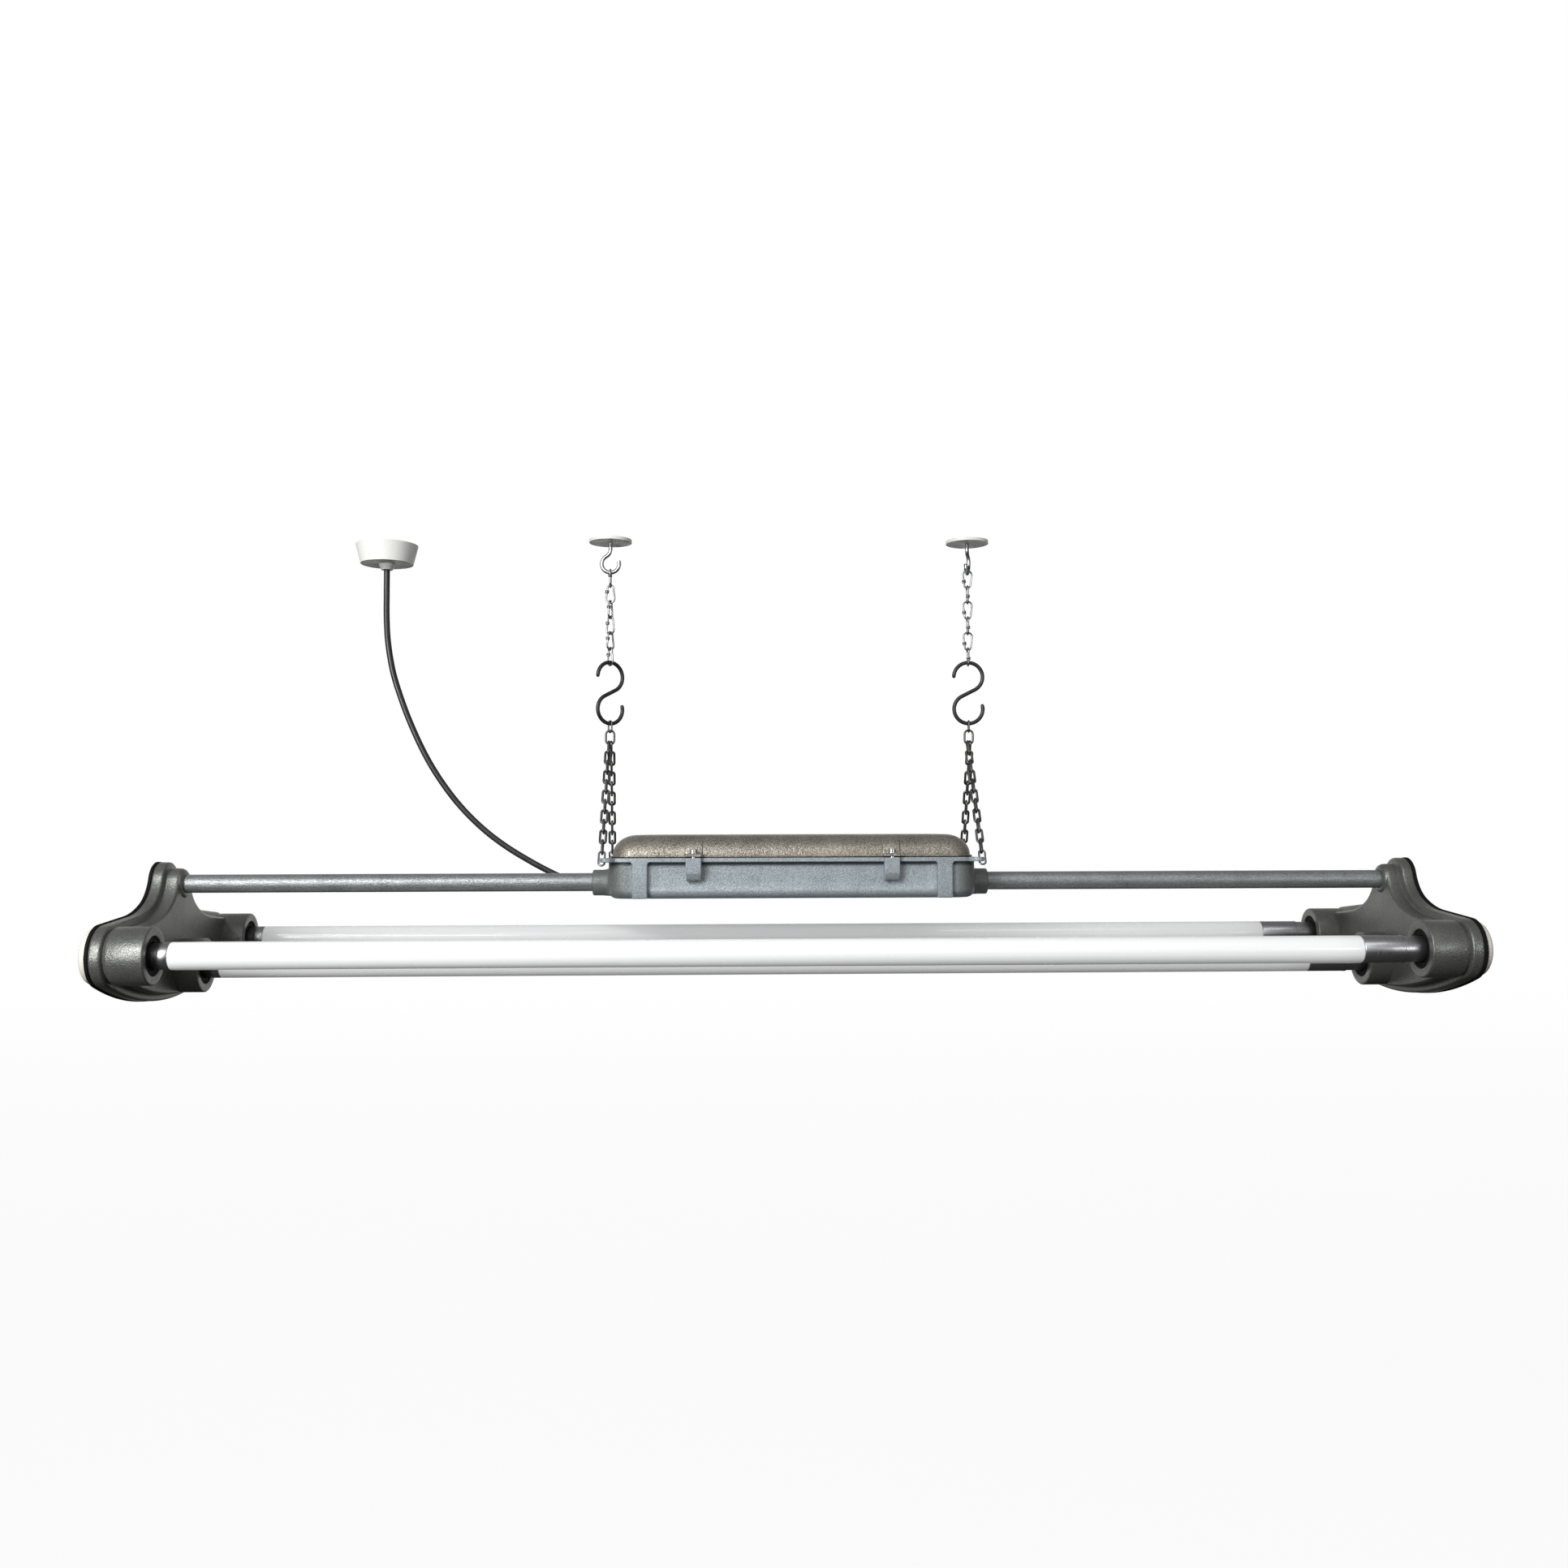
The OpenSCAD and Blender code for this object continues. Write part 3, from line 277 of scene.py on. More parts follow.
def mixColour(tree, factor, a, b):
    # a times (1 - factor) plus b times the factor; the colours are tuples or sockets
    node = tree.nodes.new("ShaderNodeMix")
    node.data_type = "RGBA"
    for label, value in (("Factor", factor), ("A", a), ("B", b)):
        wanted = "VALUE" if label == "Factor" else "RGBA"
        socket = next(s for s in node.inputs if s.name == label and s.type == wanted and s.enabled)
        if isinstance(value, tuple):
            socket.default_value = (*value, 1.0)
        else:
            tree.links.new(value, socket)
    return next(s for s in node.outputs if s.type == "RGBA")


def objectPlace(tree):
    # the place in metres under the ceiling, as the meshes hold it
    return tree.nodes.new("ShaderNodeTexCoord").outputs["Object"]


def makeHammered():
    # cells of flowing paint 1 to 2 mm wide, darker in their seams, with metal flakes and slow blotches; the
    # tone is the seams' share plus that of blotches and flakes, and Height is the cells' relief
    group, gin, gout = nodeGroup(
        "hammeredEnamel",
        [
            ("Vector", "NodeSocketVector", (0, 0, 0)),
            ("Light", "NodeSocketColor", (0.4, 0.4, 0.4, 1)),
            ("Dark", "NodeSocketColor", (0.2, 0.2, 0.2, 1)),
            ("Cells", "NodeSocketFloat", 600.0),
            ("Mottle", "NodeSocketFloat", 0.5),
            ("Gloss", "NodeSocketFloat", 0.35),
        ],
        [("Color", "NodeSocketColor"), ("Roughness", "NodeSocketFloat"), ("Height", "NodeSocketFloat")],
    )
    vector = gin.outputs["Vector"]
    cells = noise(group, gin.outputs["Cells"], 1.5, 0.45, 0.8, vector)
    flakes = noise(group, 2600.0, 1.0, 0.5, 0.0, vector)
    blotch = noise(group, 38.0, 3.0, 0.55, 0.3, vector)
    seam = span(group, cells, 0.34, 0.62)
    tone = maths(group, "MULTIPLY", maths(group, "SUBTRACT", 1.0, seam), gin.outputs["Mottle"])
    tone = maths(group, "ADD", tone, span(group, blotch, 0.35, 0.7, 0.0, 0.25))
    tone = maths(group, "ADD", tone, span(group, flakes, 0.3, 0.7, 0.12, -0.12))
    colour = mixColour(group, tone, gin.outputs["Light"], gin.outputs["Dark"])
    rough = maths(group, "ADD", gin.outputs["Gloss"], span(group, flakes, 0.3, 0.7, 0.0, 0.16))
    height = maths(group, "ADD", seam, maths(group, "MULTIPLY", flakes, 0.25))
    group.links.new(colour, gout.inputs["Color"])
    group.links.new(rough, gout.inputs["Roughness"])
    group.links.new(height, gout.inputs["Height"])
    return group


def makeWorn():
    # handling wear: soft smudges and a fine grain that change colour and gloss a little
    group, gin, gout = nodeGroup(
        "fineWear",
        [
            ("Vector", "NodeSocketVector", (0, 0, 0)),
            ("Clean", "NodeSocketColor", (0.5, 0.5, 0.5, 1)),
            ("Worn", "NodeSocketColor", (0.3, 0.3, 0.3, 1)),
            ("Amount", "NodeSocketFloat", 0.5),
            ("Gloss", "NodeSocketFloat", 0.3),
        ],
        [("Color", "NodeSocketColor"), ("Roughness", "NodeSocketFloat"), ("Height", "NodeSocketFloat")],
    )
    vector = gin.outputs["Vector"]
    smudge = noise(group, 70.0, 4.0, 0.6, 0.2, vector)
    grain = noise(group, 900.0, 3.0, 0.6, 0.0, vector)
    tone = maths(group, "MULTIPLY", span(group, smudge, 0.4, 0.72), gin.outputs["Amount"])
    tone = maths(group, "ADD", tone, span(group, grain, 0.35, 0.7, 0.0, 0.2))
    group.links.new(mixColour(group, tone, gin.outputs["Clean"], gin.outputs["Worn"]), gout.inputs["Color"])
    rough = maths(group, "ADD", gin.outputs["Gloss"], span(group, smudge, 0.35, 0.7, 0.0, 0.15))
    group.links.new(rough, gout.inputs["Roughness"])
    group.links.new(grain, gout.inputs["Height"])
    return group


hammeredGroup, wornGroup = makeHammered(), makeWorn()


def finish(name, group, values, metallic=0.0, relief=0.0, coat=0.0, specular=0.5, stretch=None):
    # a Principled material whose colour, roughness and relief come from a group
    material = bpy.data.materials.new(name)
    material.use_nodes = True
    tree = material.node_tree
    shader = tree.nodes["Principled BSDF"]
    shader.inputs["Metallic"].default_value = metallic
    shader.inputs["Coat Weight"].default_value = coat
    shader.inputs["Coat Roughness"].default_value = 0.1
    shader.inputs["Specular IOR Level"].default_value = specular
    effect = tree.nodes.new("ShaderNodeGroup")
    effect.node_tree = group
    vector = objectPlace(tree)
    if stretch:
        mapping = tree.nodes.new("ShaderNodeMapping")
        mapping.inputs["Scale"].default_value = stretch
        tree.links.new(vector, mapping.inputs["Vector"])
        vector = mapping.outputs["Vector"]
    tree.links.new(vector, effect.inputs["Vector"])
    for label, value in values.items():
        effect.inputs[label].default_value = (*value, 1.0) if isinstance(value, tuple) else value
    tree.links.new(effect.outputs["Color"], shader.inputs["Base Color"])
    tree.links.new(effect.outputs["Roughness"], shader.inputs["Roughness"])
    if relief:
        bump = tree.nodes.new("ShaderNodeBump")
        bump.inputs["Strength"].default_value = 1.0
        bump.inputs["Distance"].default_value = relief
        tree.links.new(effect.outputs["Height"], bump.inputs["Height"])
        tree.links.new(bump.outputs["Normal"], shader.inputs["Normal"])
    return material


def enamel(name, light, dark, cells, mottle, gloss, relief, metallic):
    # hammered paint with its light and dark tones, the cells per metre and the relief in metres
    values = {"Light": light, "Dark": dark, "Cells": cells, "Mottle": mottle, "Gloss": gloss}
    return finish(name, hammeredGroup, values, metallic=metallic, relief=relief, specular=0.4)


boxPaintedShade = {
    "flange": (-0.3342, -0.3338),  # the flange's underside, in metres under the ceiling
    # painted shade round the box's rounded ends
    "ends": (0.154, 0.170), "endShadeTone": (0.13, 0.14, 0.13), "endShadeShare": 0.85,
    # painted shadow close under the flange
    "shade": (-0.3392, -0.3352), "wall": (0.0600, 0.0612), "shadeTone": (0.035, 0.04, 0.043), "shadeShare": 0.9,
    # painted shade on the rounding at the box's foot
    "foot": (-0.3690, -0.3640), "footShadeTone": (0.24, 0.27, 0.28), "footShadeShare": 0.6,
}


def paintBoxShade(material, s):
    # painted shade: darker, browner enamel round the ends, a painted shadow under the flange, and darker at the foot
    tree = material.node_tree
    shader = tree.nodes["Principled BSDF"]
    colour = shader.inputs["Base Color"].links[0].from_socket
    split = tree.nodes.new("ShaderNodeSeparateXYZ")
    tree.links.new(objectPlace(tree), split.inputs[0])
    x, y = (maths(tree, "ABSOLUTE", split.outputs[k]) for k in ("X", "Y"))
    z = split.outputs["Z"]
    belowFlange = span(tree, z, *s["flange"], 1.0, 0.0)
    # painted shade: the rounded ends, which face away from the light, are darkened
    ends = maths(tree, "MULTIPLY", span(tree, x, *s["ends"], 0.0, s["endShadeShare"]), belowFlange)
    colour = mixColour(tree, ends, colour, s["endShadeTone"])
    # painted shadow: a dark band close under the flange, on the wall only
    shade = maths(tree, "MULTIPLY", span(tree, z, *s["shade"], 0.0, s["shadeShare"]), belowFlange)
    shade = maths(tree, "MULTIPLY", shade, span(tree, y, *s["wall"], 1.0, 0.0))
    colour = mixColour(tree, shade, colour, s["shadeTone"])
    # painted shade: darker on the rounding at the foot
    colour = mixColour(tree, span(tree, z, *s["foot"], s["footShadeShare"], 0.0), colour, s["footShadeTone"])
    tree.links.new(colour, shader.inputs["Base Color"])


def plain(name, clean, worn, amount, gloss, metallic=0.0, relief=0.0, coat=0.0, stretch=None, inner=0.0,
          specular=0.5):
    # a smooth finish with fine wear; inner is a painted glow, an even emission that brightens an unlit opal body
    values = {"Clean": clean, "Worn": worn, "Amount": amount, "Gloss": gloss}
    material = finish(name, wornGroup, values, metallic=metallic, relief=relief, coat=coat,
                      stretch=stretch, specular=specular)
    if inner:
        # painted glow: the part emits light though it is no lamp
        shader = material.node_tree.nodes["Principled BSDF"]
        shader.inputs["Emission Color"].default_value = (1, 1, 1, 1)
        shader.inputs["Emission Strength"].default_value = inner
    return material


paints = {
    "hammered_grey": enamel("boxEnamel", (0.37, 0.415, 0.44), (0.20, 0.235, 0.255), 760.0, 0.6, 0.34, 0.00016,
                            0.35),
    "lid_paint": enamel("lidEnamel", (0.40, 0.37, 0.32), (0.15, 0.136, 0.115), 700.0, 0.75, 0.30, 0.00018, 0.7),
    "conduit_paint": enamel("conduitEnamel", (0.34, 0.355, 0.355), (0.16, 0.175, 0.175), 760.0, 0.6, 0.28,
                            0.00014, 0.6),
    "casting_paint": enamel("castingEnamel", (0.185, 0.19, 0.178), (0.105, 0.108, 0.10), 560.0, 0.4, 0.29,
                            0.00009, 0.6),
    "gasket_rubber": plain("gasketRubber", (0.006, 0.006, 0.006), (0.012, 0.012, 0.012), 0.4, 0.7,
                           relief=0.00004, specular=0.12),
    "cover_cream": plain("creamEnamel", (0.80, 0.77, 0.68), (0.62, 0.58, 0.48), 0.3, 0.38, relief=0.00004),
    # painted glow: the unlit tubes emit a little light of their own
    "opal_glass": plain("opalGlass", (0.80, 0.805, 0.81), (0.77, 0.77, 0.78), 0.2, 0.14, coat=0.3, inner=0.16),
    "cap_aluminium": plain("brushedAluminium", (0.53, 0.53, 0.545), (0.30, 0.30, 0.31), 0.6, 0.30, metallic=1.0,
                           relief=0.00002, stretch=(30.0, 1.0, 1.0)),
    "pin_brass": plain("pinBrass", (0.72, 0.56, 0.28), (0.5, 0.38, 0.18), 0.4, 0.25, metallic=1.0),
    "board_white": plain("boardWhite", (0.85, 0.85, 0.83), (0.7, 0.7, 0.66), 0.3, 0.5),
    "rotor_plastic": plain("rotorPlastic", (0.05, 0.05, 0.05), (0.03, 0.03, 0.03), 0.4, 0.5),
    "holder_plastic": plain("holderPlastic", (0.02, 0.02, 0.021), (0.04, 0.04, 0.04), 0.4, 0.45, relief=0.00003),
    "bright_chain": plain("brightZinc", (0.36, 0.36, 0.37), (0.16, 0.16, 0.16), 0.6, 0.28, metallic=1.0),
    "s_hook_black": plain("blackLacquer", (0.009, 0.009, 0.01), (0.03, 0.028, 0.026), 0.4, 0.38, coat=0.1),
    "dark_chain": plain("darkSteel", (0.09, 0.09, 0.09), (0.20, 0.20, 0.19), 0.7, 0.34, metallic=0.9),
    "ring_steel": plain("ringSteel", (0.27, 0.275, 0.28), (0.14, 0.14, 0.14), 0.5, 0.28, metallic=1.0),
    "zinc_screws": plain("zincScrews", (0.66, 0.67, 0.68), (0.42, 0.42, 0.42), 0.5, 0.22, metallic=1.0),
    "tray_steel": plain("zincSheet", (0.6, 0.61, 0.62), (0.42, 0.43, 0.44), 0.5, 0.35, metallic=0.9),
    "terminal_plastic": plain("ivoryPlastic", (0.8, 0.78, 0.7), (0.68, 0.65, 0.56), 0.3, 0.42),
    "wire_insulation": plain("brownWire", (0.22, 0.11, 0.06), (0.12, 0.06, 0.035), 0.4, 0.45),
    "gland_metal": plain("glandMetal", (0.55, 0.55, 0.54), (0.35, 0.35, 0.34), 0.5, 0.35, metallic=0.8),
    "cord_rubber": plain("cordRubber", (0.012, 0.012, 0.014), (0.03, 0.03, 0.03), 0.3, 0.32, coat=0.15),
    "ceiling_steel": plain("paleSteel", (0.78, 0.78, 0.77), (0.62, 0.62, 0.6), 0.3, 0.35),
    "hook_zinc": plain("hookZinc", (0.5, 0.51, 0.52), (0.45, 0.45, 0.45), 0.4, 0.25, metallic=1.0),
    "rose_plastic": plain("paleRose", (0.85, 0.85, 0.83), (0.75, 0.74, 0.7), 0.2, 0.4, relief=0.00002),
}
paintBoxShade(paints["hammered_grey"], boxPaintedShade)
for part in frame["record"]["subparts"]:
    node = frame["nodes"][part["node"]]
    node.data.materials.clear()
    node.data.materials.append(paints[part["material_slot"]])
print("materials made")

cordSizes = {
    "route": [
        (-207, 32, 64), (-221, 32, 64), (-230, 32, 65.2), (-240, 32, 68.5), (-252, 32, 74),
        (-271.5, 32, 84.5), (-297.5, 31.9, 100.5), (-321.5, 31.8, 119), (-345, 31.6, 142.5),
        (-365, 31.4, 168.5), (-382, 31.2, 196.5), (-397.5, 31, 229.5), (-408.5, 30.7, 258.5),
        (-416.5, 30.4, 285), (-421.5, 30.2, 314), (-423.3, 30.1, 340), (-423.5, 30, 366),
        (-423.5, 30, 380), (-423.5, 30, 392),
    ],
    "radius": 3.15, "steps": 5,
}


def addCord(sizes):
    # a round tube along the smooth path through the route's points
    path = smoothPath(sizes["route"], sizes["steps"])
    cord = addPiece("cord", [tube(path, sizes["radius"], 20)], "lamp", "cord_rubber", ["mains_cord"], 60.0)


addCord(cordSizes)
print("cord made")

tubeSizes = {
    "half": 599.7, "radius": 13.0, "leftCap": 21.4, "rightCap": 63.0, "stepRing": 38.0, "straight": 30.0,
    "endDepth": 3.2, "pinSeat": 2.0,
    # rows of (distance, depth under the radius)
    "glassEdge": [(-2.0, 1.6), (0.1, 1.6), (0.2, 0.9), (0.7, 0.3), (1.6, 0.0)],
    "capEdge": [(0.0, 1.4), (0.0, 0.35), (0.4, 0.05)],
    "shortCap": [(8.0, 0.05), (8.6, 0.35), (9.0, 1.0), (9.6, 1.3), (17.6, 1.3), (18.8, 1.9)],
    "ringStep": [(-0.7, 0.05), (-0.5, 0.4), (-0.1, 0.4), (0.1, -0.12), (1.9, -0.12), (2.2, 0.7)],
    "driverEnd": [(-1.6, 0.7), (-0.4, 1.4), (0.0, 3.0)],
}


def addTubes(s):
    # profiles of rows (start plus or minus the distance, radius less the depth), turned about each tube's axis
    r = s["radius"]
    glassLeft, glassRight = -s["half"] + s["leftCap"], s["half"] - s["rightCap"]

    def rows(table, start, way=1):
        return [(start + way * along, r - depth) for along, depth in table]

    straight = np.linspace(glassLeft + s["straight"], glassRight - s["straight"], 8)
    glass = rows(s["glassEdge"], glassLeft) + [(x, r) for x in straight] + rows(s["glassEdge"][::-1], glassRight, -1)
    leftCap = rows(s["capEdge"] + s["shortCap"], glassLeft, -1)
    leftCap += [(-s["half"], r - s["endDepth"]), (-s["half"], s["pinSeat"])]
    rightCap = rows(s["capEdge"], glassRight) + rows(s["ringStep"], glassRight + s["stepRing"])
    rightCap += rows(s["driverEnd"], s["half"]) + [(s["half"], s["pinSeat"])]
    for label, (y, z) in tubePlaces.items():
        body = label + "_tube"
        addPiece(label + "Glass", [lathe(glass, y, z, ends="cap")], body, "opal_glass", [label + "_tube_glass"], 50.0)
        caps = [lathe(leftCap[::-1], y, z, ends="cap"), lathe(rightCap, y, z, ends="cap")]
        addPiece(label + "Caps", caps, body, "cap_aluminium", [label + "_tube_caps"], 40.0)


addTubes(tubeSizes)
print("tubes made")

fittingSizes = {
    "neckRadius": 22.0, "lobeRadius": 29.0, "bellyDepth": 53.0, "tubeY": 130.0,
    "shoulder": (88.0, 133.5), "shoulderRadius": 100.0, "flareJoinY": 42.0,
    "socketRadius": 27.3, "boreRadius": 18.7, "ringX": 594.0, "faceX": 617.0, "rimX": 631.0, "backX": 642.0,
    "rimStep": 6.0, "edge": 3.2, "capRadius": 26.3, "capHeight": 10.0, "gasket": 3.5, "gasketProud": 0.45,
    # rows of (distance along the tube, height over the wall)
    "rimFront": [(-4.5, 0.0), (-3.0, -0.6), (-1.4, -0.5), (-0.5, 0.8), (-0.2, 2.6), (0.0, 4.3), (0.6, 5.4),
                 (1.5, 5.9), (2.6, 6.0)],
    "rimBack": [(-2.2, 6.0), (-1.0, 5.8), (-0.3, 5.3), (0.0, 5.0), (0.0, -3.0), (-0.6, -3.6)],
    # rows of (distance along the conduit from the face, radius)
    "collar": [(4.0, 9.35), (-1.9, 9.35), (-2.1, 9.7), (-2.1, 10.6), (-1.7, 12.0), (-0.8, 13.4), (0.4, 14.6),
               (4.0, 15.0)],
    # rows of (distance behind the casting, growth of the outline)
    "cover": [(3.5, -2.5), (4.2, -2.4), (4.7, -2.7), (5.0, -3.4), (5.0, -12.0)],
}


def fittingOutline(grow, s=fittingSizes):
    # neck, flare, shoulder, line, lobe and belly as touching arcs, grown outwards, then mirrored in Y
    tubeY, neckR, lobeR = s["tubeY"], s["neckRadius"], s["lobeRadius"]
    shoulder, shoulderR = np.array(s["shoulder"]), s["shoulderRadius"]
    join = np.array([s["flareJoinY"], shoulder[1] - math.sqrt(shoulderR**2 - (shoulder[0] - s["flareJoinY"]) ** 2)])
    flareDir = (join - shoulder) / shoulderR
    reach = join - [0, conduitZ]
    flareR = (reach @ reach - neckR**2) / (2 * (neckR + reach @ flareDir))
    flare = join - flareR * flareDir
    gap = shoulder - [tubeY, 0]
    lineA = math.atan2(gap[1], gap[0]) - math.acos((shoulderR + lobeR) / np.linalg.norm(gap))
    depth = s["bellyDepth"]
    bellyR = (tubeY**2 + depth**2 - lobeR**2) / (2 * (depth - lobeR))
    belly = np.array([0, bellyR - depth])
    bellyA = math.degrees(math.atan2(-belly[1], tubeY))
    joinA = math.degrees(math.atan2(flare[1] - conduitZ, flare[0]))
    flareA = math.degrees(math.atan2(flareDir[1], flareDir[0]))
    lineA = math.degrees(lineA)
    half = np.concatenate([
        bend((0, conduitZ), neckR + grow, 90, joinA, 16),
        bend(flare, flareR - grow, joinA - 180, flareA, 14)[1:],
        bend(shoulder, shoulderR - grow, flareA, lineA - 180, 8)[1:],
        bend((tubeY, 0), lobeR + grow, lineA, bellyA, 40),
        bend(belly, bellyR + grow, bellyA, -90, 18)[1:],
    ])
    mirrored = half[-2:0:-1] * [-1, 1]
    return np.concatenate([half, mirrored])


def outlineRings(stations, side):
    # one ring for each (distance from the middle, growth): the outline grown, at that distance
    rings = []
    for x, grow in stations:
        ring = fittingOutline(grow)
        rings.append(np.column_stack([np.full(len(ring), side * x), ring]))
    return np.array(rings)


def addEndFitting(word, s):
    # the outline carried along rows of distance and growth, with turned sockets and a turned collar on it
    side = bothSides[word]
    face, rim, back, edge = s["faceX"], s["rimX"], s["backX"], s["edge"]
    wall = -s["rimStep"]
    rounded = bend((face + edge, wall - edge - 0.4), edge, 180, 90, 7)
    stations = [tuple(p) for p in rounded] + [(rim + x, wall + up) for x, up in s["rimFront"]]
    stations += [(back + x, wall + up) for x, up in s["rimBack"]] + [(face + 4.6, wall - 3.6)]
    parts = [skin(outlineRings(stations, side))]
    ring, r, bore = s["ringX"], s["socketRadius"], s["boreRadius"]
    socket = [(face + 4.0, bore), (ring + 0.9, bore), (ring + 0.25, bore + 0.25), (ring, bore + 0.8), (ring, r - 1.5),
              (ring + 0.25, r - 0.7), (ring + 0.8, r - 0.15), (ring + 1.6, r), (rim - 4.6, r), (rim - 3.4, r - 0.5),
              (rim - 2.2, r - 1.7), (rim + 1.5, r - 2.2), (rim + 1.5, bore)]
    socket = np.array(socket) * [side, 1]
    for y, z in tubePlaces.values():
        parts.append(lathe(socket, y, z))
    collar = [(face + x, radius) for x, radius in s["collar"]]
    parts.append(lathe(np.array(collar) * [side, 1], 0, conduitZ))
    addPiece(word + "EndCasting", parts, "lamp", "casting_paint", ["end_casting_" + word], 40.0)
    proud, far = s["gasketProud"], back + s["gasket"] - 0.1
    gasket = [(back, -8.0), (back + 0.02, 0.0), (back + 0.4, proud), (far - 0.4, proud), (far, 0.0), (far, -8.0)]
    addPiece(word + "EndGasket", [skin(outlineRings(gasket, side), "join")], "lamp", "gasket_rubber",
             ["end_gasket_" + word], 40.0)
    cover = [(back + x, grow) for x, grow in s["cover"]]
    capR, capH = s["capRadius"], s["capHeight"]
    # steep sides and a low crown: radius and height as the cosine and sine of one angle, each to the power 3/4
    turn = np.radians(np.linspace(0.0, 89.0, 26))
    dome = np.column_stack([back + 4.5 + capH * np.sin(turn) ** 0.75, capR * np.cos(turn) ** 0.75])
    dome = np.concatenate([[[back + 4.0, capR - 0.4]], dome]) * [side, 1]
    parts = [skin(outlineRings(cover, side))]
    parts += [lathe(dome, y, 0.0, ends="cap") for y in (-s["tubeY"], s["tubeY"])]
    addPiece(word + "EndCover", parts, "end_cover_" + word, "cover_cream", ["end_cover_" + word], 40.0)


for word in bothSides:
    addEndFitting(word, fittingSizes)
print("end fittings made")

lidSizes = {
    "length": 360.0, "width": 119.0, "corner": 24.0, "lip": 2.2, "lipZ": 89.1, "lipT": 1.5, "wall": 3.0,
    "domeInset": 24.0, "domeHeight": 20.9, "crown": 0.5, "crownReach": 28.0,
    "padX": 98.0, "padWidth": 17.5, "padTop": 106.4, "padProud": 1.5, "tabY": 70.0, "tabT": 1.9, "tabDepth": 15.0,
}


def domeProfile(s):
    # (inset, rise): a quarter of an ellipse, then a crown that rises as the sine of its quarter turn
    a = np.radians(np.linspace(0, 90, 15))
    side = np.column_stack([s["domeInset"] * (1 - np.cos(a)), s["domeHeight"] * np.sin(a)])
    top = np.linspace(0, 1, 5)[1:]
    crown = np.column_stack([s["domeInset"] + s["crownReach"] * top,
                             s["domeHeight"] + s["crown"] * np.sin(top * np.pi / 2)])
    return np.concatenate([side, crown])


def domeRings(s, shrink, low):
    # the lid's outline drawn inwards while it rises along a quarter of an ellipse, then over a slight crown
    rings = []
    for inset, rise in domeProfile(s):
        drawn = inset + shrink
        ring = roundRect(s["length"] - 2 * drawn, s["width"] - 2 * drawn, max(s["corner"] - 0.55 * drawn, 4.0))
        rings.append(levelRing(ring, low + rise))
    return rings


def addLid(s):
    # dome, lip and hollow as one skin; pads follow the dome's profile, and tabs are round-cornered plates
    lipTop = s["lipZ"] + s["lipT"]
    outer = domeRings(s, 0.0, lipTop)
    inner = domeRings(s, s["wall"], lipTop - s["wall"] + 0.5)

    def lipRing(grow, z):
        return levelRing(roundRect(s["length"] + 2 * grow, s["width"] + 2 * grow, s["corner"] + grow), z)

    lip = [lipRing(0.2, lipTop), lipRing(s["lip"] - 0.4, lipTop), lipRing(s["lip"], lipTop - 0.4),
           lipRing(s["lip"], s["lipZ"] + 0.4), lipRing(s["lip"] - 0.4, s["lipZ"]), lipRing(-s["wall"], s["lipZ"])]
    parts = [skin(np.array(outer[::-1] + lip + inner))]
    profile = domeProfile(s)
    keep = profile[:, 1] <= s["padTop"] - lipTop
    for x, y in fourCorners:
        front = profile[keep] * [-1, 1]
        front = np.concatenate([[[s["padProud"], -1.0]], front + [s["padProud"], 0.3]])
        top = s["padTop"] - lipTop
        front = np.concatenate([front, [[front[-1, 0] - 1.8, top], [front[-1, 0] - 8.0, top + 0.2]]])
        outline = np.concatenate([front, [[front[-1, 0], -1.0]]])
        half = s["padWidth"] / 2
        rings = []
        for across, ease in ((-half, 0.6), (0.5 - half, 0.1), (1.2 - half, 0.0),
                             (half - 1.2, 0.0), (half - 0.5, 0.1), (half, 0.6)):
            ring = np.column_stack([np.full(len(outline), x * s["padX"] + across),
                                    y * (s["width"] / 2 + outline[:, 0] - ease),
                                    lipTop + outline[:, 1] - ease * 0.5])
            rings.append(ring)
        parts.append(skin(rings))
        low, high, deep = s["lipZ"] + 0.2, s["lipZ"] + s["lipT"] + s["tabT"], s["tabDepth"]
        tab = []
        for z, ease in ((low, 0.5), (low + 0.5, 0.0), (high - 0.5, 0.0), (high, 0.5)):
            ring = roundRect(s["padWidth"] - 2 * ease, deep - 2 * ease, 2.0)
            tab.append(levelRing(ring + [x * s["padX"], y * (s["tabY"] - deep / 2)], z))
        parts.append(skin(tab))
    addPiece("domedLid", parts, "lid", "lid_paint", ["lid"], 40.0)


addLid(lidSizes)
print("lid made")

screwSizes = {
    "x": 98.0, "y": 65.4, "seat": 92.5, "washer": 4.4, "head": 3.8, "shaft": 2.4, "low": 71.5, "slot": 0.65,
    "floor": 3.0, "top": 4.2,  # the slot's floor and the head's top, over the seat
}


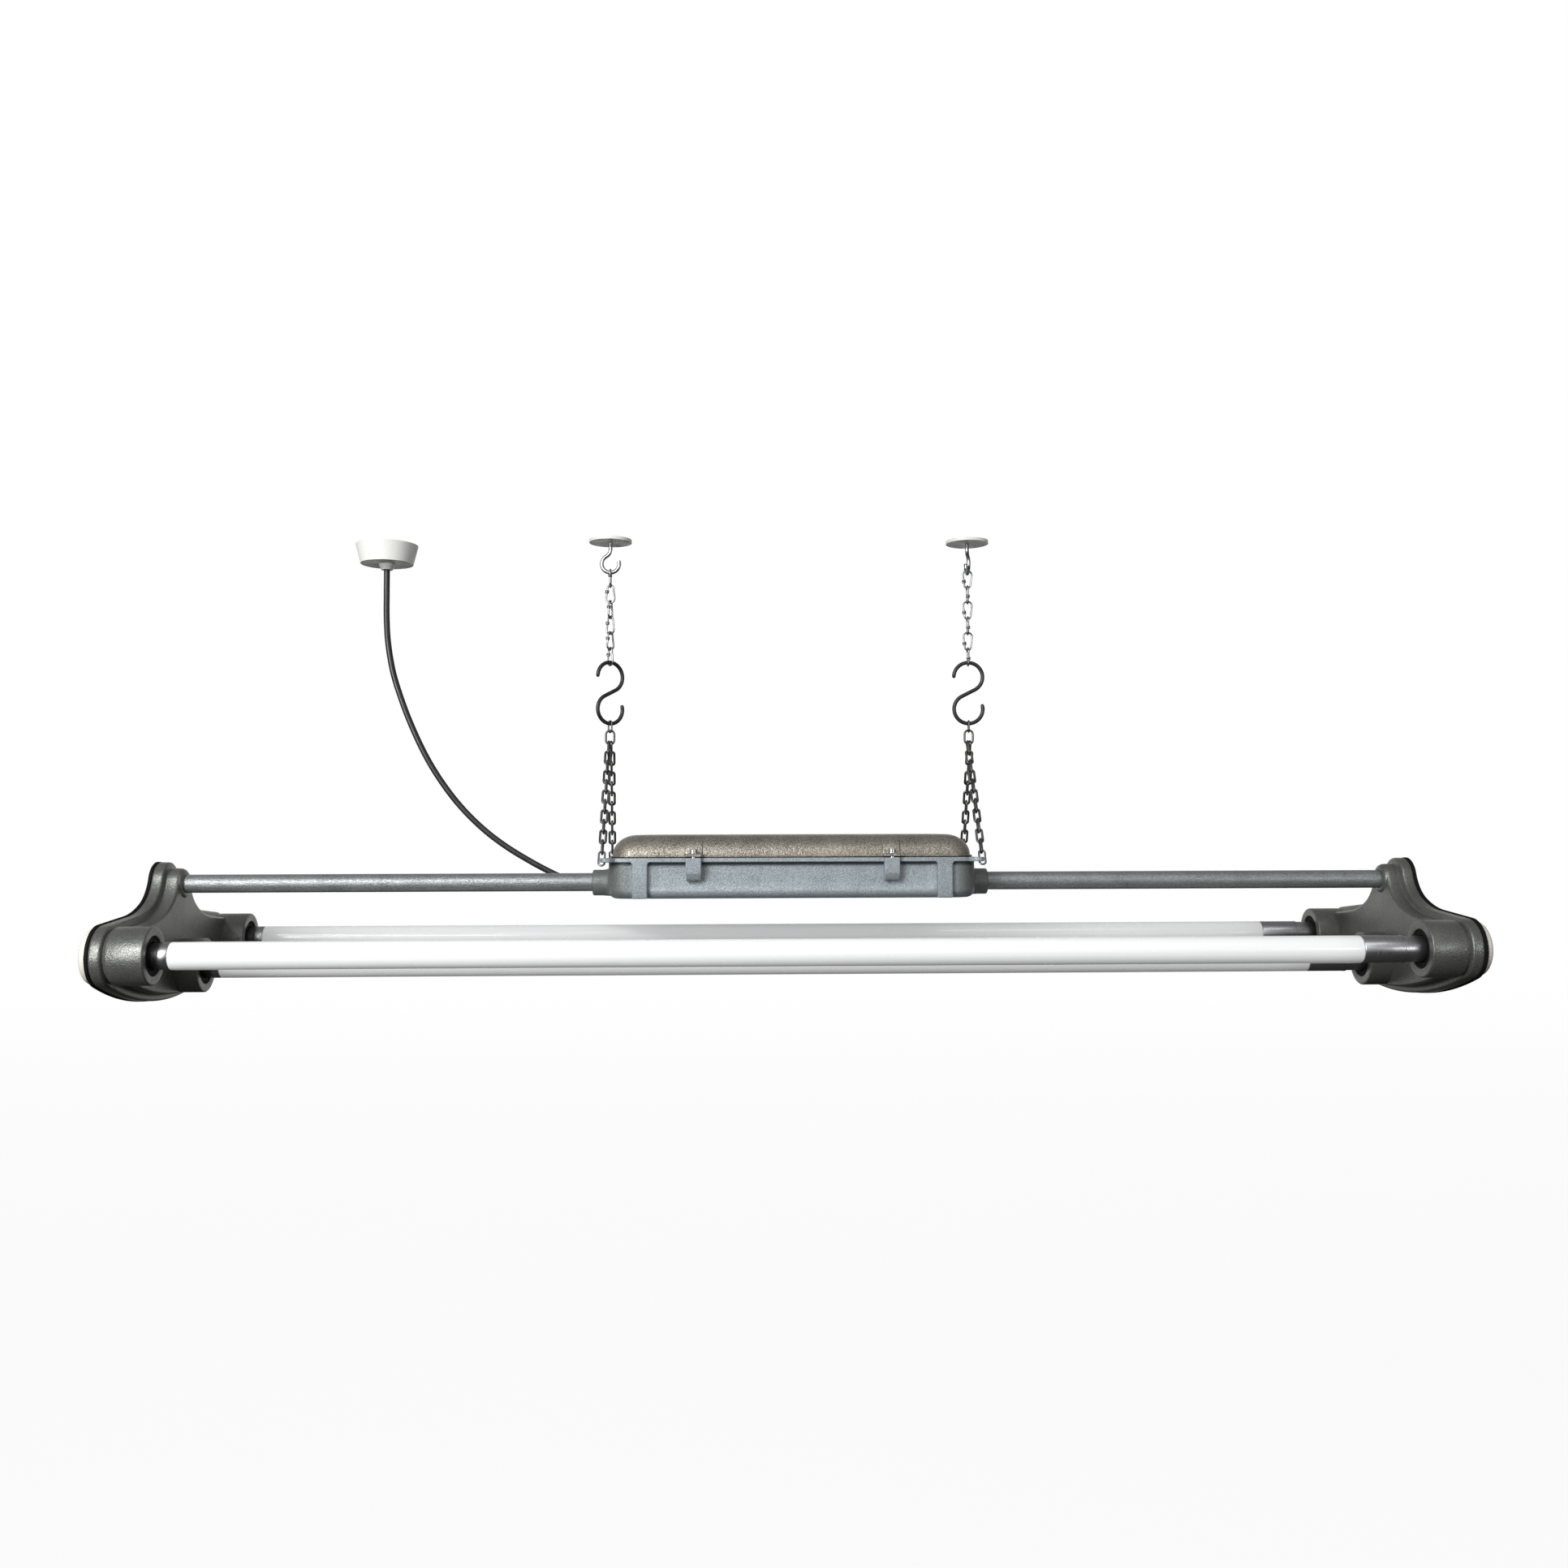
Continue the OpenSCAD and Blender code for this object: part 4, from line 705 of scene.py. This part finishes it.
def addLidScrews(s):
    # a turned shaft, washer and head; the slot is the gap between two part discs, each an arc closed by a chord
    seat, head, shaft, washer, low = s["seat"], s["head"], s["shaft"], s["washer"], s["low"]
    floor, top = seat + s["floor"], seat + s["top"]
    body = [(low, 0.6), (low, shaft - 0.5), (low + 0.6, shaft), (seat, shaft), (seat, washer - 0.2),
            (seat + 0.2, washer), (seat + 0.8, washer), (seat + 1.0, washer - 0.25), (seat + 1.0, head - 0.03),
            (floor, head - 0.03), (floor, 0.6)]
    parts = []
    turn = math.degrees(math.asin(s["slot"] / head))
    for x, y in fourCorners:
        spot = [x * s["x"], y * s["y"], 0.0]
        points, faces = lathe(body, 0.0, 0.0, axis="z", sides=32, ends="cap")
        parts.append((points + spot, faces))
        for half in (0, 180):
            edge = bend((0, 0), head, half + turn, half + 180 - turn, 20)
            rings = []
            for ease, z in ((0.0, floor - 0.2), (0.0, top - 0.4), (0.35, top)):
                ring = edge * (1 - ease / head)
                ring[[0, -1], 1] = edge[[0, -1], 1]
                rings.append(levelRing(ring, z))
            points, faces = skin(rings)
            parts.append((points + spot, faces))
    addPiece("slottedLidScrews", parts, "lid", "zinc_screws", ["lid_screws"], 35.0)


addLidScrews(screwSizes)
print("lid screws made")

boxSizes = {
    "length": 367.0, "width": 120.0, "corner": 20.0, "low": 48.0, "edge": 8.0, "wall": 4.0,
    "panel": {"depth": 1.3, "ends": (1.0, 4.0), "foot": (8.5, 3.0), "head": (35.5, 2.0)},  # (place, ease)
    "flangeLength": 372.0, "flangeWidth": 130.0, "flangeCorner": 22.0, "flangeLow": 84.1, "flangeTop": 88.4,
    "ribX": 151.0, "ribWidth": 15.2, "clawX": 98.0, "clawWidth": 15.5, "clawY": 70.0, "clawLow": 65.6,
    "lug": (183.8, 61.0), "lugAim": (19.8, 18.0), "lugRadius": 6.5, "lugHole": 3.4,
    "bossRadius": 13.2, "bossStart": 181.0, "bossEnd": 203.0, "bossFoot": 17.5, "bossBore": 9.5,
    "floorEdge": 5.0, "clawDepth": 13.0, "pit": (6.0, 2.5), "pitY": 62.2,
    "walls": [35.0, 34.0, 33.0, 30.0, 24.0, 18.0, 12.0, 10.5, 9.5],  # heights of the wall's rings over the floor
    # rows of (height, distance back from the claw's face), and of (distance from the middle, radius)
    "clawFace": [(80.0, 0.0), (74.0, 0.15), (72.6, 0.35), (71.4, 0.9), (69.0, 2.1), (66.6, 3.3)],
    "bossFlare": [(184.2, 17.0), (185.8, 15.6), (187.4, 14.3), (190.0, 13.5)],
}


def addGearBox(s):
    # round-cornered rectangles at rising heights, drawn in along a quarter circle at the lower edge; the panel
    # pushes the long sides in by the product of two smooth steps, one along the box and one up it
    parts, rings = [], []
    wall, low = s["wall"], s["low"]
    inside = [(wall + s["floorEdge"], low + wall), (wall, low + wall + s["floorEdge"]), (wall, s["flangeTop"])]
    for inset, z in inside:
        ring = roundRect(s["length"] - 2 * inset, s["width"] - 2 * inset, s["corner"] - min(inset, 6.0), straight=60)
        rings.append(levelRing(ring, z))
    steep = bend((s["edge"], s["edge"]), s["edge"], 180, 270, 9)
    outer = [(0.0, h) for h in [s["flangeTop"] - low] + s["walls"]] + [(p[0], p[1]) for p in steep]
    ends, foot, head = (s["panel"][k] for k in ("ends", "foot", "head"))
    for inset, height in outer:
        ring = roundRect(s["length"] - 2 * inset, s["width"] - 2 * inset, s["corner"] - 0.5 * inset, straight=60)
        across = np.clip((s["ribX"] - s["ribWidth"] / 2 - ends[0] - np.abs(ring[:, 0])) / ends[1], 0, 1)
        above = np.clip((height - foot[0]) / foot[1], 0, 1) * np.clip((head[0] - height) / head[1], 0, 1)
        push = s["panel"]["depth"] * across**2 * (3 - 2 * across) * above**2 * (3 - 2 * above)
        ring[:, 1] -= np.sign(ring[:, 1]) * push
        rings.append(levelRing(ring, low + height))
    parts.append(skin(rings))

    # flange: a flat frame with softened edges
    low, top = s["flangeLow"], s["flangeTop"]
    frameRings = []
    for grow, z in [(0, low + 0.6), (0, top - 0.5), (-0.5, top), (-7.0, top), (-7.0, low), (-0.6, low)]:
        ring = roundRect(s["flangeLength"] + 2 * grow, s["flangeWidth"] + 2 * grow, s["flangeCorner"] + grow)
        frameRings.append(levelRing(ring, z))
    parts.append(skin(frameRings, "join"))

    # hanging lugs: an ear that is round outwards and runs back under the flange's corner
    turn = np.linspace(0, 2 * np.pi, 48, endpoint=False)
    for x, y in fourCorners:
        centre = np.array([x * s["lug"][0], y * s["lug"][1]])
        outward = math.atan2(y * s["lugAim"][1], x * s["lugAim"][0])
        reach = s["lugRadius"] / np.maximum(np.abs(np.sin(turn - outward)), 0.28)
        reach = np.where(np.cos(turn - outward) > 0, s["lugRadius"], reach)
        ray = np.column_stack([np.cos(turn), np.sin(turn)])
        ear = [levelRing(centre + ray * (reach + g)[:, None], z)
               for g, z in ((-0.6, low), (0, low + 0.6), (0, top - 0.5), (-0.6, top))]
        hole = [levelRing(centre + ray * (s["lugHole"] + g), z)
                for g, z in ((0.4, top), (0, top - 0.5), (0, low + 0.5), (0.4, low))]
        parts.append(skin(ear + hole, "join"))

    # ribs: upright bars between the flange and the lower edge
    for x, y in fourCorners:
        deep = s["flangeWidth"] / 2 - s["width"] / 2 + 5.0
        rib = []
        for ease, z in ((1.2, s["low"] + 0.2), (0.3, s["low"] + 0.8), (0, s["low"] + 2.0),
                        (0, low - 2.5), (-0.8, low - 0.8), (-2.2, low + 0.4)):
            ring = roundRect(s["ribWidth"] - 2 * ease, deep, 1.1, straight=6)
            ring = ring + [x * s["ribX"], y * (s["flangeWidth"] / 2 - deep / 2 - max(ease, 0))]
            rib.append(levelRing(ring, z))
        parts.append(skin(rib))

    # claws: blocks with an upright face, a bevel back below it, and a pit where the screw comes through
    clawLow, deep = s["clawLow"], s["clawDepth"]
    clawFace = [(top - 0.2, 0.0)] + s["clawFace"] + [(clawLow + 0.5, 3.9), (clawLow, 4.6)]
    for x, y in fourCorners:
        claw = []
        for z, back in clawFace:
            ring = roundRect(s["clawWidth"] - 0.28 * back, deep - back, 1.2, straight=8)
            ring = ring * [1, y] + [x * s["clawX"], y * (s["clawY"] - back - (deep - back) / 2)]
            claw.append(levelRing(ring, z))
        pit, pitDepth = s["pit"]
        floor = roundRect(pit, pit, pit / 2 - 0.1, straight=8) + [x * s["clawX"], y * s["pitY"]]
        claw += [levelRing(floor, clawLow), levelRing(floor, clawLow + pitDepth)]
        parts.append(skin(claw))

    # conduit bosses: a short cylinder that flares into the end wall
    start, end, r, bore = s["bossStart"], s["bossEnd"], s["bossRadius"], s["bossBore"]
    boss = [(start, s["bossFoot"])] + s["bossFlare"]
    boss += [(193.0, r), (end - 1.2, r), (end - 0.4, r - 0.4), (end, r - 1.2), (end, bore), (start, bore)]
    for side in bothSides.values():
        points, faces = lathe(np.array(boss) * [side, 1], 0.0, conduitZ - 0.5)
        points[:, 2] = np.maximum(points[:, 2], conduitZ - 0.8 - r)  # no flare below
        parts.append((points, faces))
    addPiece("castGearBox", parts, "lamp", "hammered_grey", ["gear_box"], 42.0)


addGearBox(boxSizes)
print("gear box made")

conduitSizes = {"start": 171.5, "end": 627.0, "radius": 9.3, "bore": 8.1}


def addConduits(s):
    # a pipe's wall turned about the conduit's axis
    r, bore = s["radius"], s["bore"]
    profile = [(s["start"], bore), (s["start"], r - 0.4), (s["start"] + 0.4, r)]
    profile += [(x, r) for x in np.linspace(s["start"] + 20, s["end"] - 20, 10)]
    profile += [(s["end"] - 0.4, r), (s["end"], r - 0.4), (s["end"], bore)]
    for word, side in bothSides.items():
        pipe = lathe(np.array(profile) * [side, 1], 0.0, conduitZ, sides=96)
        addPiece(word + "Conduit", [pipe], "lamp", "conduit_paint", ["conduit_" + word], 50.0)


addConduits(conduitSizes)
print("conduits made")

hangSizes = {
    "chainX": 186.0, "hookMiddle": 258.5, "hookHalf": 16.8, "hookRadius": 15.0, "hookWire": 2.0,
    "hookTurn": {"left": 38.0, "right": 0.0},
    "knotLinks": 6, "knotPitch": 16.3, "knotLength": 18.3, "knotWire": 0.95, "wide": 4.5, "narrow": 3.1,
    "wrapRadius": 1.35, "wrapWire": 0.8, "wrapHeights": (2.95, 4.55),
    "links": 11, "linkLength": 14.3, "linkWidth": 5.8, "linkWire": 1.1, "jointWidth": 8.6, "jointSide": 1.3,
    "thinLength": 12.0, "thinWidth": 6.2, "thinWire": 0.8, "gap": 0.1,
    "ring": (188.6, 60.1, 88.05), "ringLength": 15.5, "ringWidth": 6.0, "ringWire": 1.0,
}


def linkPath(length, width, corner, count=8):
    # a rounded rectangle of wire in the XZ plane, its top wire at the origin
    flat = roundRect(width, length, corner, corner=count, straight=2)
    return np.column_stack([flat[:, 0], np.zeros(len(flat)), flat[:, 1] - length / 2])


def addSHooks(s):
    # two arcs that meet on a shared slant, the upper one open to one side and the lower one to the other
    lean = math.degrees(math.asin(s["hookRadius"] / s["hookHalf"]))
    top = bend((0, s["hookHalf"]), s["hookRadius"], 184, -lean, 48)
    low = bend((0, -s["hookHalf"]), s["hookRadius"], 180 - lean, 380, 50)
    flat = np.concatenate([top, low])
    path = np.column_stack([flat[:, 0], np.zeros(len(flat)), flat[:, 1]])
    taper = np.full(len(path), s["hookWire"])
    taper[[0, -1]] = s["hookWire"] * 0.55
    taper[[1, -2]] = s["hookWire"] * 0.93
    for word, side in bothSides.items():
        spot = turned(path, s["hookTurn"][word]) + [side * s["chainX"], 0, s["hookMiddle"]]
        addPiece(word + "SHook", [tube(spot, taper, 20)], "lamp", "s_hook_black", ["s_hook_" + word], 60.0)


def knotPath(s):
    # one wire round a wide bend above and a narrow bend below, in the XZ plane
    rise = s["knotLength"] - s["wide"] - s["narrow"]
    lean = math.degrees(math.asin((s["wide"] - s["narrow"]) / rise))
    over = bend((0, s["knotLength"] - s["wide"]), s["wide"], -lean, 180 + lean, 22)
    under = bend((0, s["narrow"]), s["narrow"], 180 + lean, 360 - lean, 18)
    flat = np.concatenate([over, under])
    return np.column_stack([flat[:, 0], np.zeros(len(flat)), flat[:, 1]]), lean


def addUpperChain(s, word, swap, twist, flip):
    # loops of one wire with two wraps each; each loop is turned a quarter from the one below it, and less a twist
    side = bothSides[word]
    loop, lean = knotPath(s)
    hookTop = s["hookMiddle"] + s["hookHalf"] + s["hookRadius"]
    start = hookTop - s["hookWire"] - s["knotWire"] - s["gap"]
    wrap = np.column_stack([bend((0, 0), s["wrapRadius"], 0, 345, 24), np.linspace(-0.25, 0.25, 24)])
    parts = []
    for i in range(s["knotLinks"]):
        pieces = [tube(loop, s["knotWire"], 12, closed=True)]
        for z in s["wrapHeights"]:
            spot = turned(wrap, -lean, "y") + [-s["narrow"] - z * math.tan(math.radians(lean)), 0, s["narrow"] + z]
            pieces.append(tube(spot, s["wrapWire"], 10, closed=True))
        for points, faces in pieces:
            points = points.copy()
            if flip:
                points[:, 2] = s["knotLength"] - points[:, 2]
                faces = turnedOver(faces)
            angle = 90 * ((i + 1 + swap) % 2) - twist * (s["knotLinks"] - 1 - i)
            parts.append((turned(points, angle) + [side * s["chainX"], 0, start + i * s["knotPitch"]], faces))
    addPiece(word + "UpperChain", parts, "lamp", "bright_chain", ["upper_chain_" + word], 60.0)


def hungLink(points, direction, quarter, spot):
    # a link drawn downwards is turned about its length, leaned along the chain's line, and put in place
    x, y, z = direction
    points = turned(points, 90.0 * quarter)
    points = turned(points, 180.0 - math.degrees(math.acos(z)), "y")
    return turned(points, math.degrees(math.atan2(y, x)) + 180.0) + spot


def addLowerGear(s):
    # each chain runs straight from the joining link to its ring; its links divide that line evenly, and each is
    # turned a quarter from the one above it
    hookLow = s["hookMiddle"] - s["hookHalf"] - s["hookRadius"]
    thinTop = hookLow + s["hookWire"] + s["thinWire"] + s["gap"]
    jointTop = thinTop - s["thinLength"] + s["thinWire"] + s["linkWire"] + s["gap"]
    half = s["jointWidth"] / 2
    hangZ = jointTop - s["linkLength"] + half - math.sqrt(half**2 - s["jointSide"] ** 2)
    thin = linkPath(s["thinLength"], s["thinWidth"], s["thinWidth"] / 2 - 0.05)
    joint = linkPath(s["linkLength"], s["jointWidth"], half - 0.05)
    link = linkPath(s["linkLength"], s["linkWidth"], 2.2)
    joints, rings = [], []
    for word, side in bothSides.items():
        spot = turned(thin, 90 + s["hookTurn"][word]) + [side * s["chainX"], 0, thinTop]
        joints.append(tube(spot, s["thinWire"], 12, closed=True))
        joints.append(tube(joint + [side * s["chainX"], 0, jointTop], s["linkWire"], 14, closed=True))
        for depth, where in ((-1, "front"), (1, "rear")):
            hang = np.array([side * s["chainX"] + depth * s["jointSide"], 0, hangZ])
            ring = np.array([side * s["ring"][0], depth * s["ring"][1], s["ring"][2]])
            line = (ring - hang) / np.linalg.norm(ring - hang)
            top = hang - line * (2 * s["linkWire"] + 2 * s["gap"])
            run = np.linalg.norm(ring - top) - (s["ringLength"] / 2 - s["ringWire"] - s["linkWire"] - s["gap"])
            pitch = (run - s["linkLength"]) / (s["links"] - 1)
            paths = [hungLink(link, line, i % 2, top + line * pitch * i) for i in range(s["links"])]
            chain = [tube(path, s["linkWire"], 12, closed=True, square=0.45) for path in paths]
            name = "Chain" + word.capitalize() + where.capitalize()
            addPiece("lower" + name, chain, "lamp", "dark_chain", ["lower_chain_" + where + "_" + word], 50.0)
            lean = math.degrees(math.atan2(s["ring"][1], hangZ - s["ring"][2])) * depth
            loop = linkPath(s["ringLength"], s["ringWidth"], s["ringWidth"] / 2 - 0.05)
            loop = turned(loop + [0, 0, s["ringLength"] / 2], lean, "x") + ring
            rings.append(tube(loop, s["ringWire"], 14, closed=True))
    addPiece("joiningLinks", joints, "lamp", "dark_chain", ["joining_links"], 60.0)
    addPiece("lugRings", rings, "lamp", "ring_steel", ["lug_rings"], 60.0)


addSHooks(hangSizes)
addUpperChain(hangSizes, "left", 1, 10.4, True)
addUpperChain(hangSizes, "right", 0, 0.0, False)
addLowerGear(hangSizes)
print("hanging gear made")


studio = {
    "below": 0.07, "level": 0.52, "above": 0.22, "sides": 0.3,  # light from below, level, above and the sides
    "lowSpan": (-0.55, 0.2), "highSpan": (0.15, 0.8), "sideSpan": (0.35, 0.95),
    "backSpan": (0.5, 0.85), "backFoot": (-0.25, 0.0), "backHead": (0.3, 0.6), "backSides": (0.12, 0.35),
    "backEnds": 0.35, "floorZ": -1.75, "floorHalf": 30, "floorTone": 0.06, "floorGlow": 0.93,
    "glowSpan": (1.0, 14.0), "farSpan": (2.0, 7.0),
}


def shownShare(tree, mask):
    # 1 for camera and transmission rays, the mask for glossy rays, and 0 for the light on the object
    path = tree.nodes.new("ShaderNodeLightPath")
    shown = maths(tree, "MULTIPLY", path.outputs["Is Glossy Ray"], mask)
    shown = maths(tree, "MAXIMUM", shown, path.outputs["Is Transmission Ray"])
    return maths(tree, "MAXIMUM", shown, path.outputs["Is Camera Ray"])


def addSurroundings(s):
    # the camera sees white, and metal and glass show it where the backdrop is; the light on the object
    # comes from a studio that is dark below, brightest on the level, and dimmer above and at the sides
    scene = bpy.context.scene
    scene.view_settings.view_transform = "Standard"
    world = bpy.data.worlds.new("studio")
    scene.world = world
    world.use_nodes = True
    tree = world.node_tree
    tree.nodes.clear()
    out = tree.nodes.new("ShaderNodeOutputWorld")
    mix = tree.nodes.new("ShaderNodeMixShader")
    white, glow = tree.nodes.new("ShaderNodeBackground"), tree.nodes.new("ShaderNodeBackground")
    white.inputs["Color"].default_value = (1, 1, 1, 1)
    glow.inputs["Color"].default_value = (1, 1, 1, 1)
    coordinate = tree.nodes.new("ShaderNodeTexCoord")
    split = tree.nodes.new("ShaderNodeSeparateXYZ")
    tree.links.new(coordinate.outputs["Generated"], split.inputs[0])
    x, y, z = maths(tree, "ABSOLUTE", split.outputs["X"]), split.outputs["Y"], split.outputs["Z"]
    low = span(tree, z, *s["lowSpan"], s["below"], s["level"])
    high = span(tree, z, *s["highSpan"], 0.0, s["above"] - s["level"])
    across = span(tree, x, *s["sideSpan"], 1.0, s["sides"])
    tree.links.new(maths(tree, "MULTIPLY", maths(tree, "ADD", low, high), across), glow.inputs["Strength"])
    backdrop = maths(tree, "MULTIPLY", span(tree, y, *s["backSpan"]), span(tree, z, *s["backFoot"]))
    backdrop = maths(tree, "MULTIPLY", backdrop, span(tree, z, *s["backHead"], 1.0, 0.0))
    backdrop = maths(tree, "MULTIPLY", backdrop, span(tree, x, *s["backSides"], 1.0, s["backEnds"]))
    tree.links.new(shownShare(tree, backdrop), mix.inputs[0])
    tree.links.new(glow.outputs[0], mix.inputs[1])
    tree.links.new(white.outputs[0], mix.inputs[2])
    tree.links.new(mix.outputs[0], out.inputs["Surface"])

    mesh = bpy.data.meshes.new("floor")
    h, z = s["floorHalf"], s["floorZ"]
    mesh.from_pydata([(-h, -h, z), (h, -h, z), (h, h, z), (-h, h, z)], [], [(0, 1, 2, 3)])
    floor = bpy.data.objects.new("floor", mesh)
    scene.collection.objects.link(floor)
    material = bpy.data.materials.new("paleFloor")
    material.use_nodes = True
    tree = material.node_tree
    tree.nodes.clear()
    out = tree.nodes.new("ShaderNodeOutputMaterial")
    mix, shade = tree.nodes.new("ShaderNodeMixShader"), tree.nodes.new("ShaderNodeMixShader")
    glow = tree.nodes.new("ShaderNodeEmission")
    ground, pale = tree.nodes.new("ShaderNodeBsdfDiffuse"), tree.nodes.new("ShaderNodeBsdfDiffuse")
    pale.inputs["Color"].default_value = (1, 1, 1, 1)
    ground.inputs["Color"].default_value = (s["floorTone"],) * 3 + (1,)
    glow.inputs["Color"].default_value = (1, 1, 1, 1)
    glow.inputs["Strength"].default_value = 1.0
    split = tree.nodes.new("ShaderNodeSeparateXYZ")
    tree.links.new(objectPlace(tree), split.inputs[0])
    tree.links.new(span(tree, split.outputs["Y"], *s["glowSpan"], s["floorGlow"], 1.0), shade.inputs[0])
    tree.links.new(pale.outputs[0], shade.inputs[1])
    tree.links.new(glow.outputs[0], shade.inputs[2])
    tree.links.new(shownShare(tree, span(tree, split.outputs["Y"], *s["farSpan"])), mix.inputs[0])
    tree.links.new(ground.outputs[0], mix.inputs[1])
    tree.links.new(shade.outputs[0], mix.inputs[2])
    tree.links.new(mix.outputs[0], out.inputs["Surface"])
    mesh.materials.append(material)


def addLamp(name, spot, aim, size, power):
    # an area lamp at its spot, turned to face its aim
    data = bpy.data.lights.new(name, "AREA")
    data.shape, data.size, data.size_y, data.energy = "RECTANGLE", size[0], size[1], power
    lamp = bpy.data.objects.new(name, data)
    bpy.context.scene.collection.objects.link(lamp)
    direction = Vector(aim) - Vector(spot)
    lamp.matrix_world = Matrix.Translation(Vector(spot)) @ direction.to_track_quat("-Z", "Y").to_matrix().to_4x4()


lampSizes = {  # place, aim, size and watts
    "keyLight": ((-1.25, -2.1, 0.72), (-0.05, 0.0, -0.42), (1.3, 0.5), 44.0),
    "leftLight": ((-1.72, -2.3, -0.12), (-0.6, 0.0, -0.42), (0.85, 0.55), 30.0),
    "upperLight": ((0.15, -1.6, 1.2), (0.0, 0.0, -0.36), (1.8, 0.3), 6.5),
    "rightLight": ((1.8, -2.3, -0.1), (0.5, 0.0, -0.42), (0.7, 0.4), 8.0),
}
addSurroundings(studio)
for label, (spot, aim, size, power) in lampSizes.items():
    addLamp(label, spot, aim, size, power)
print("surroundings made")
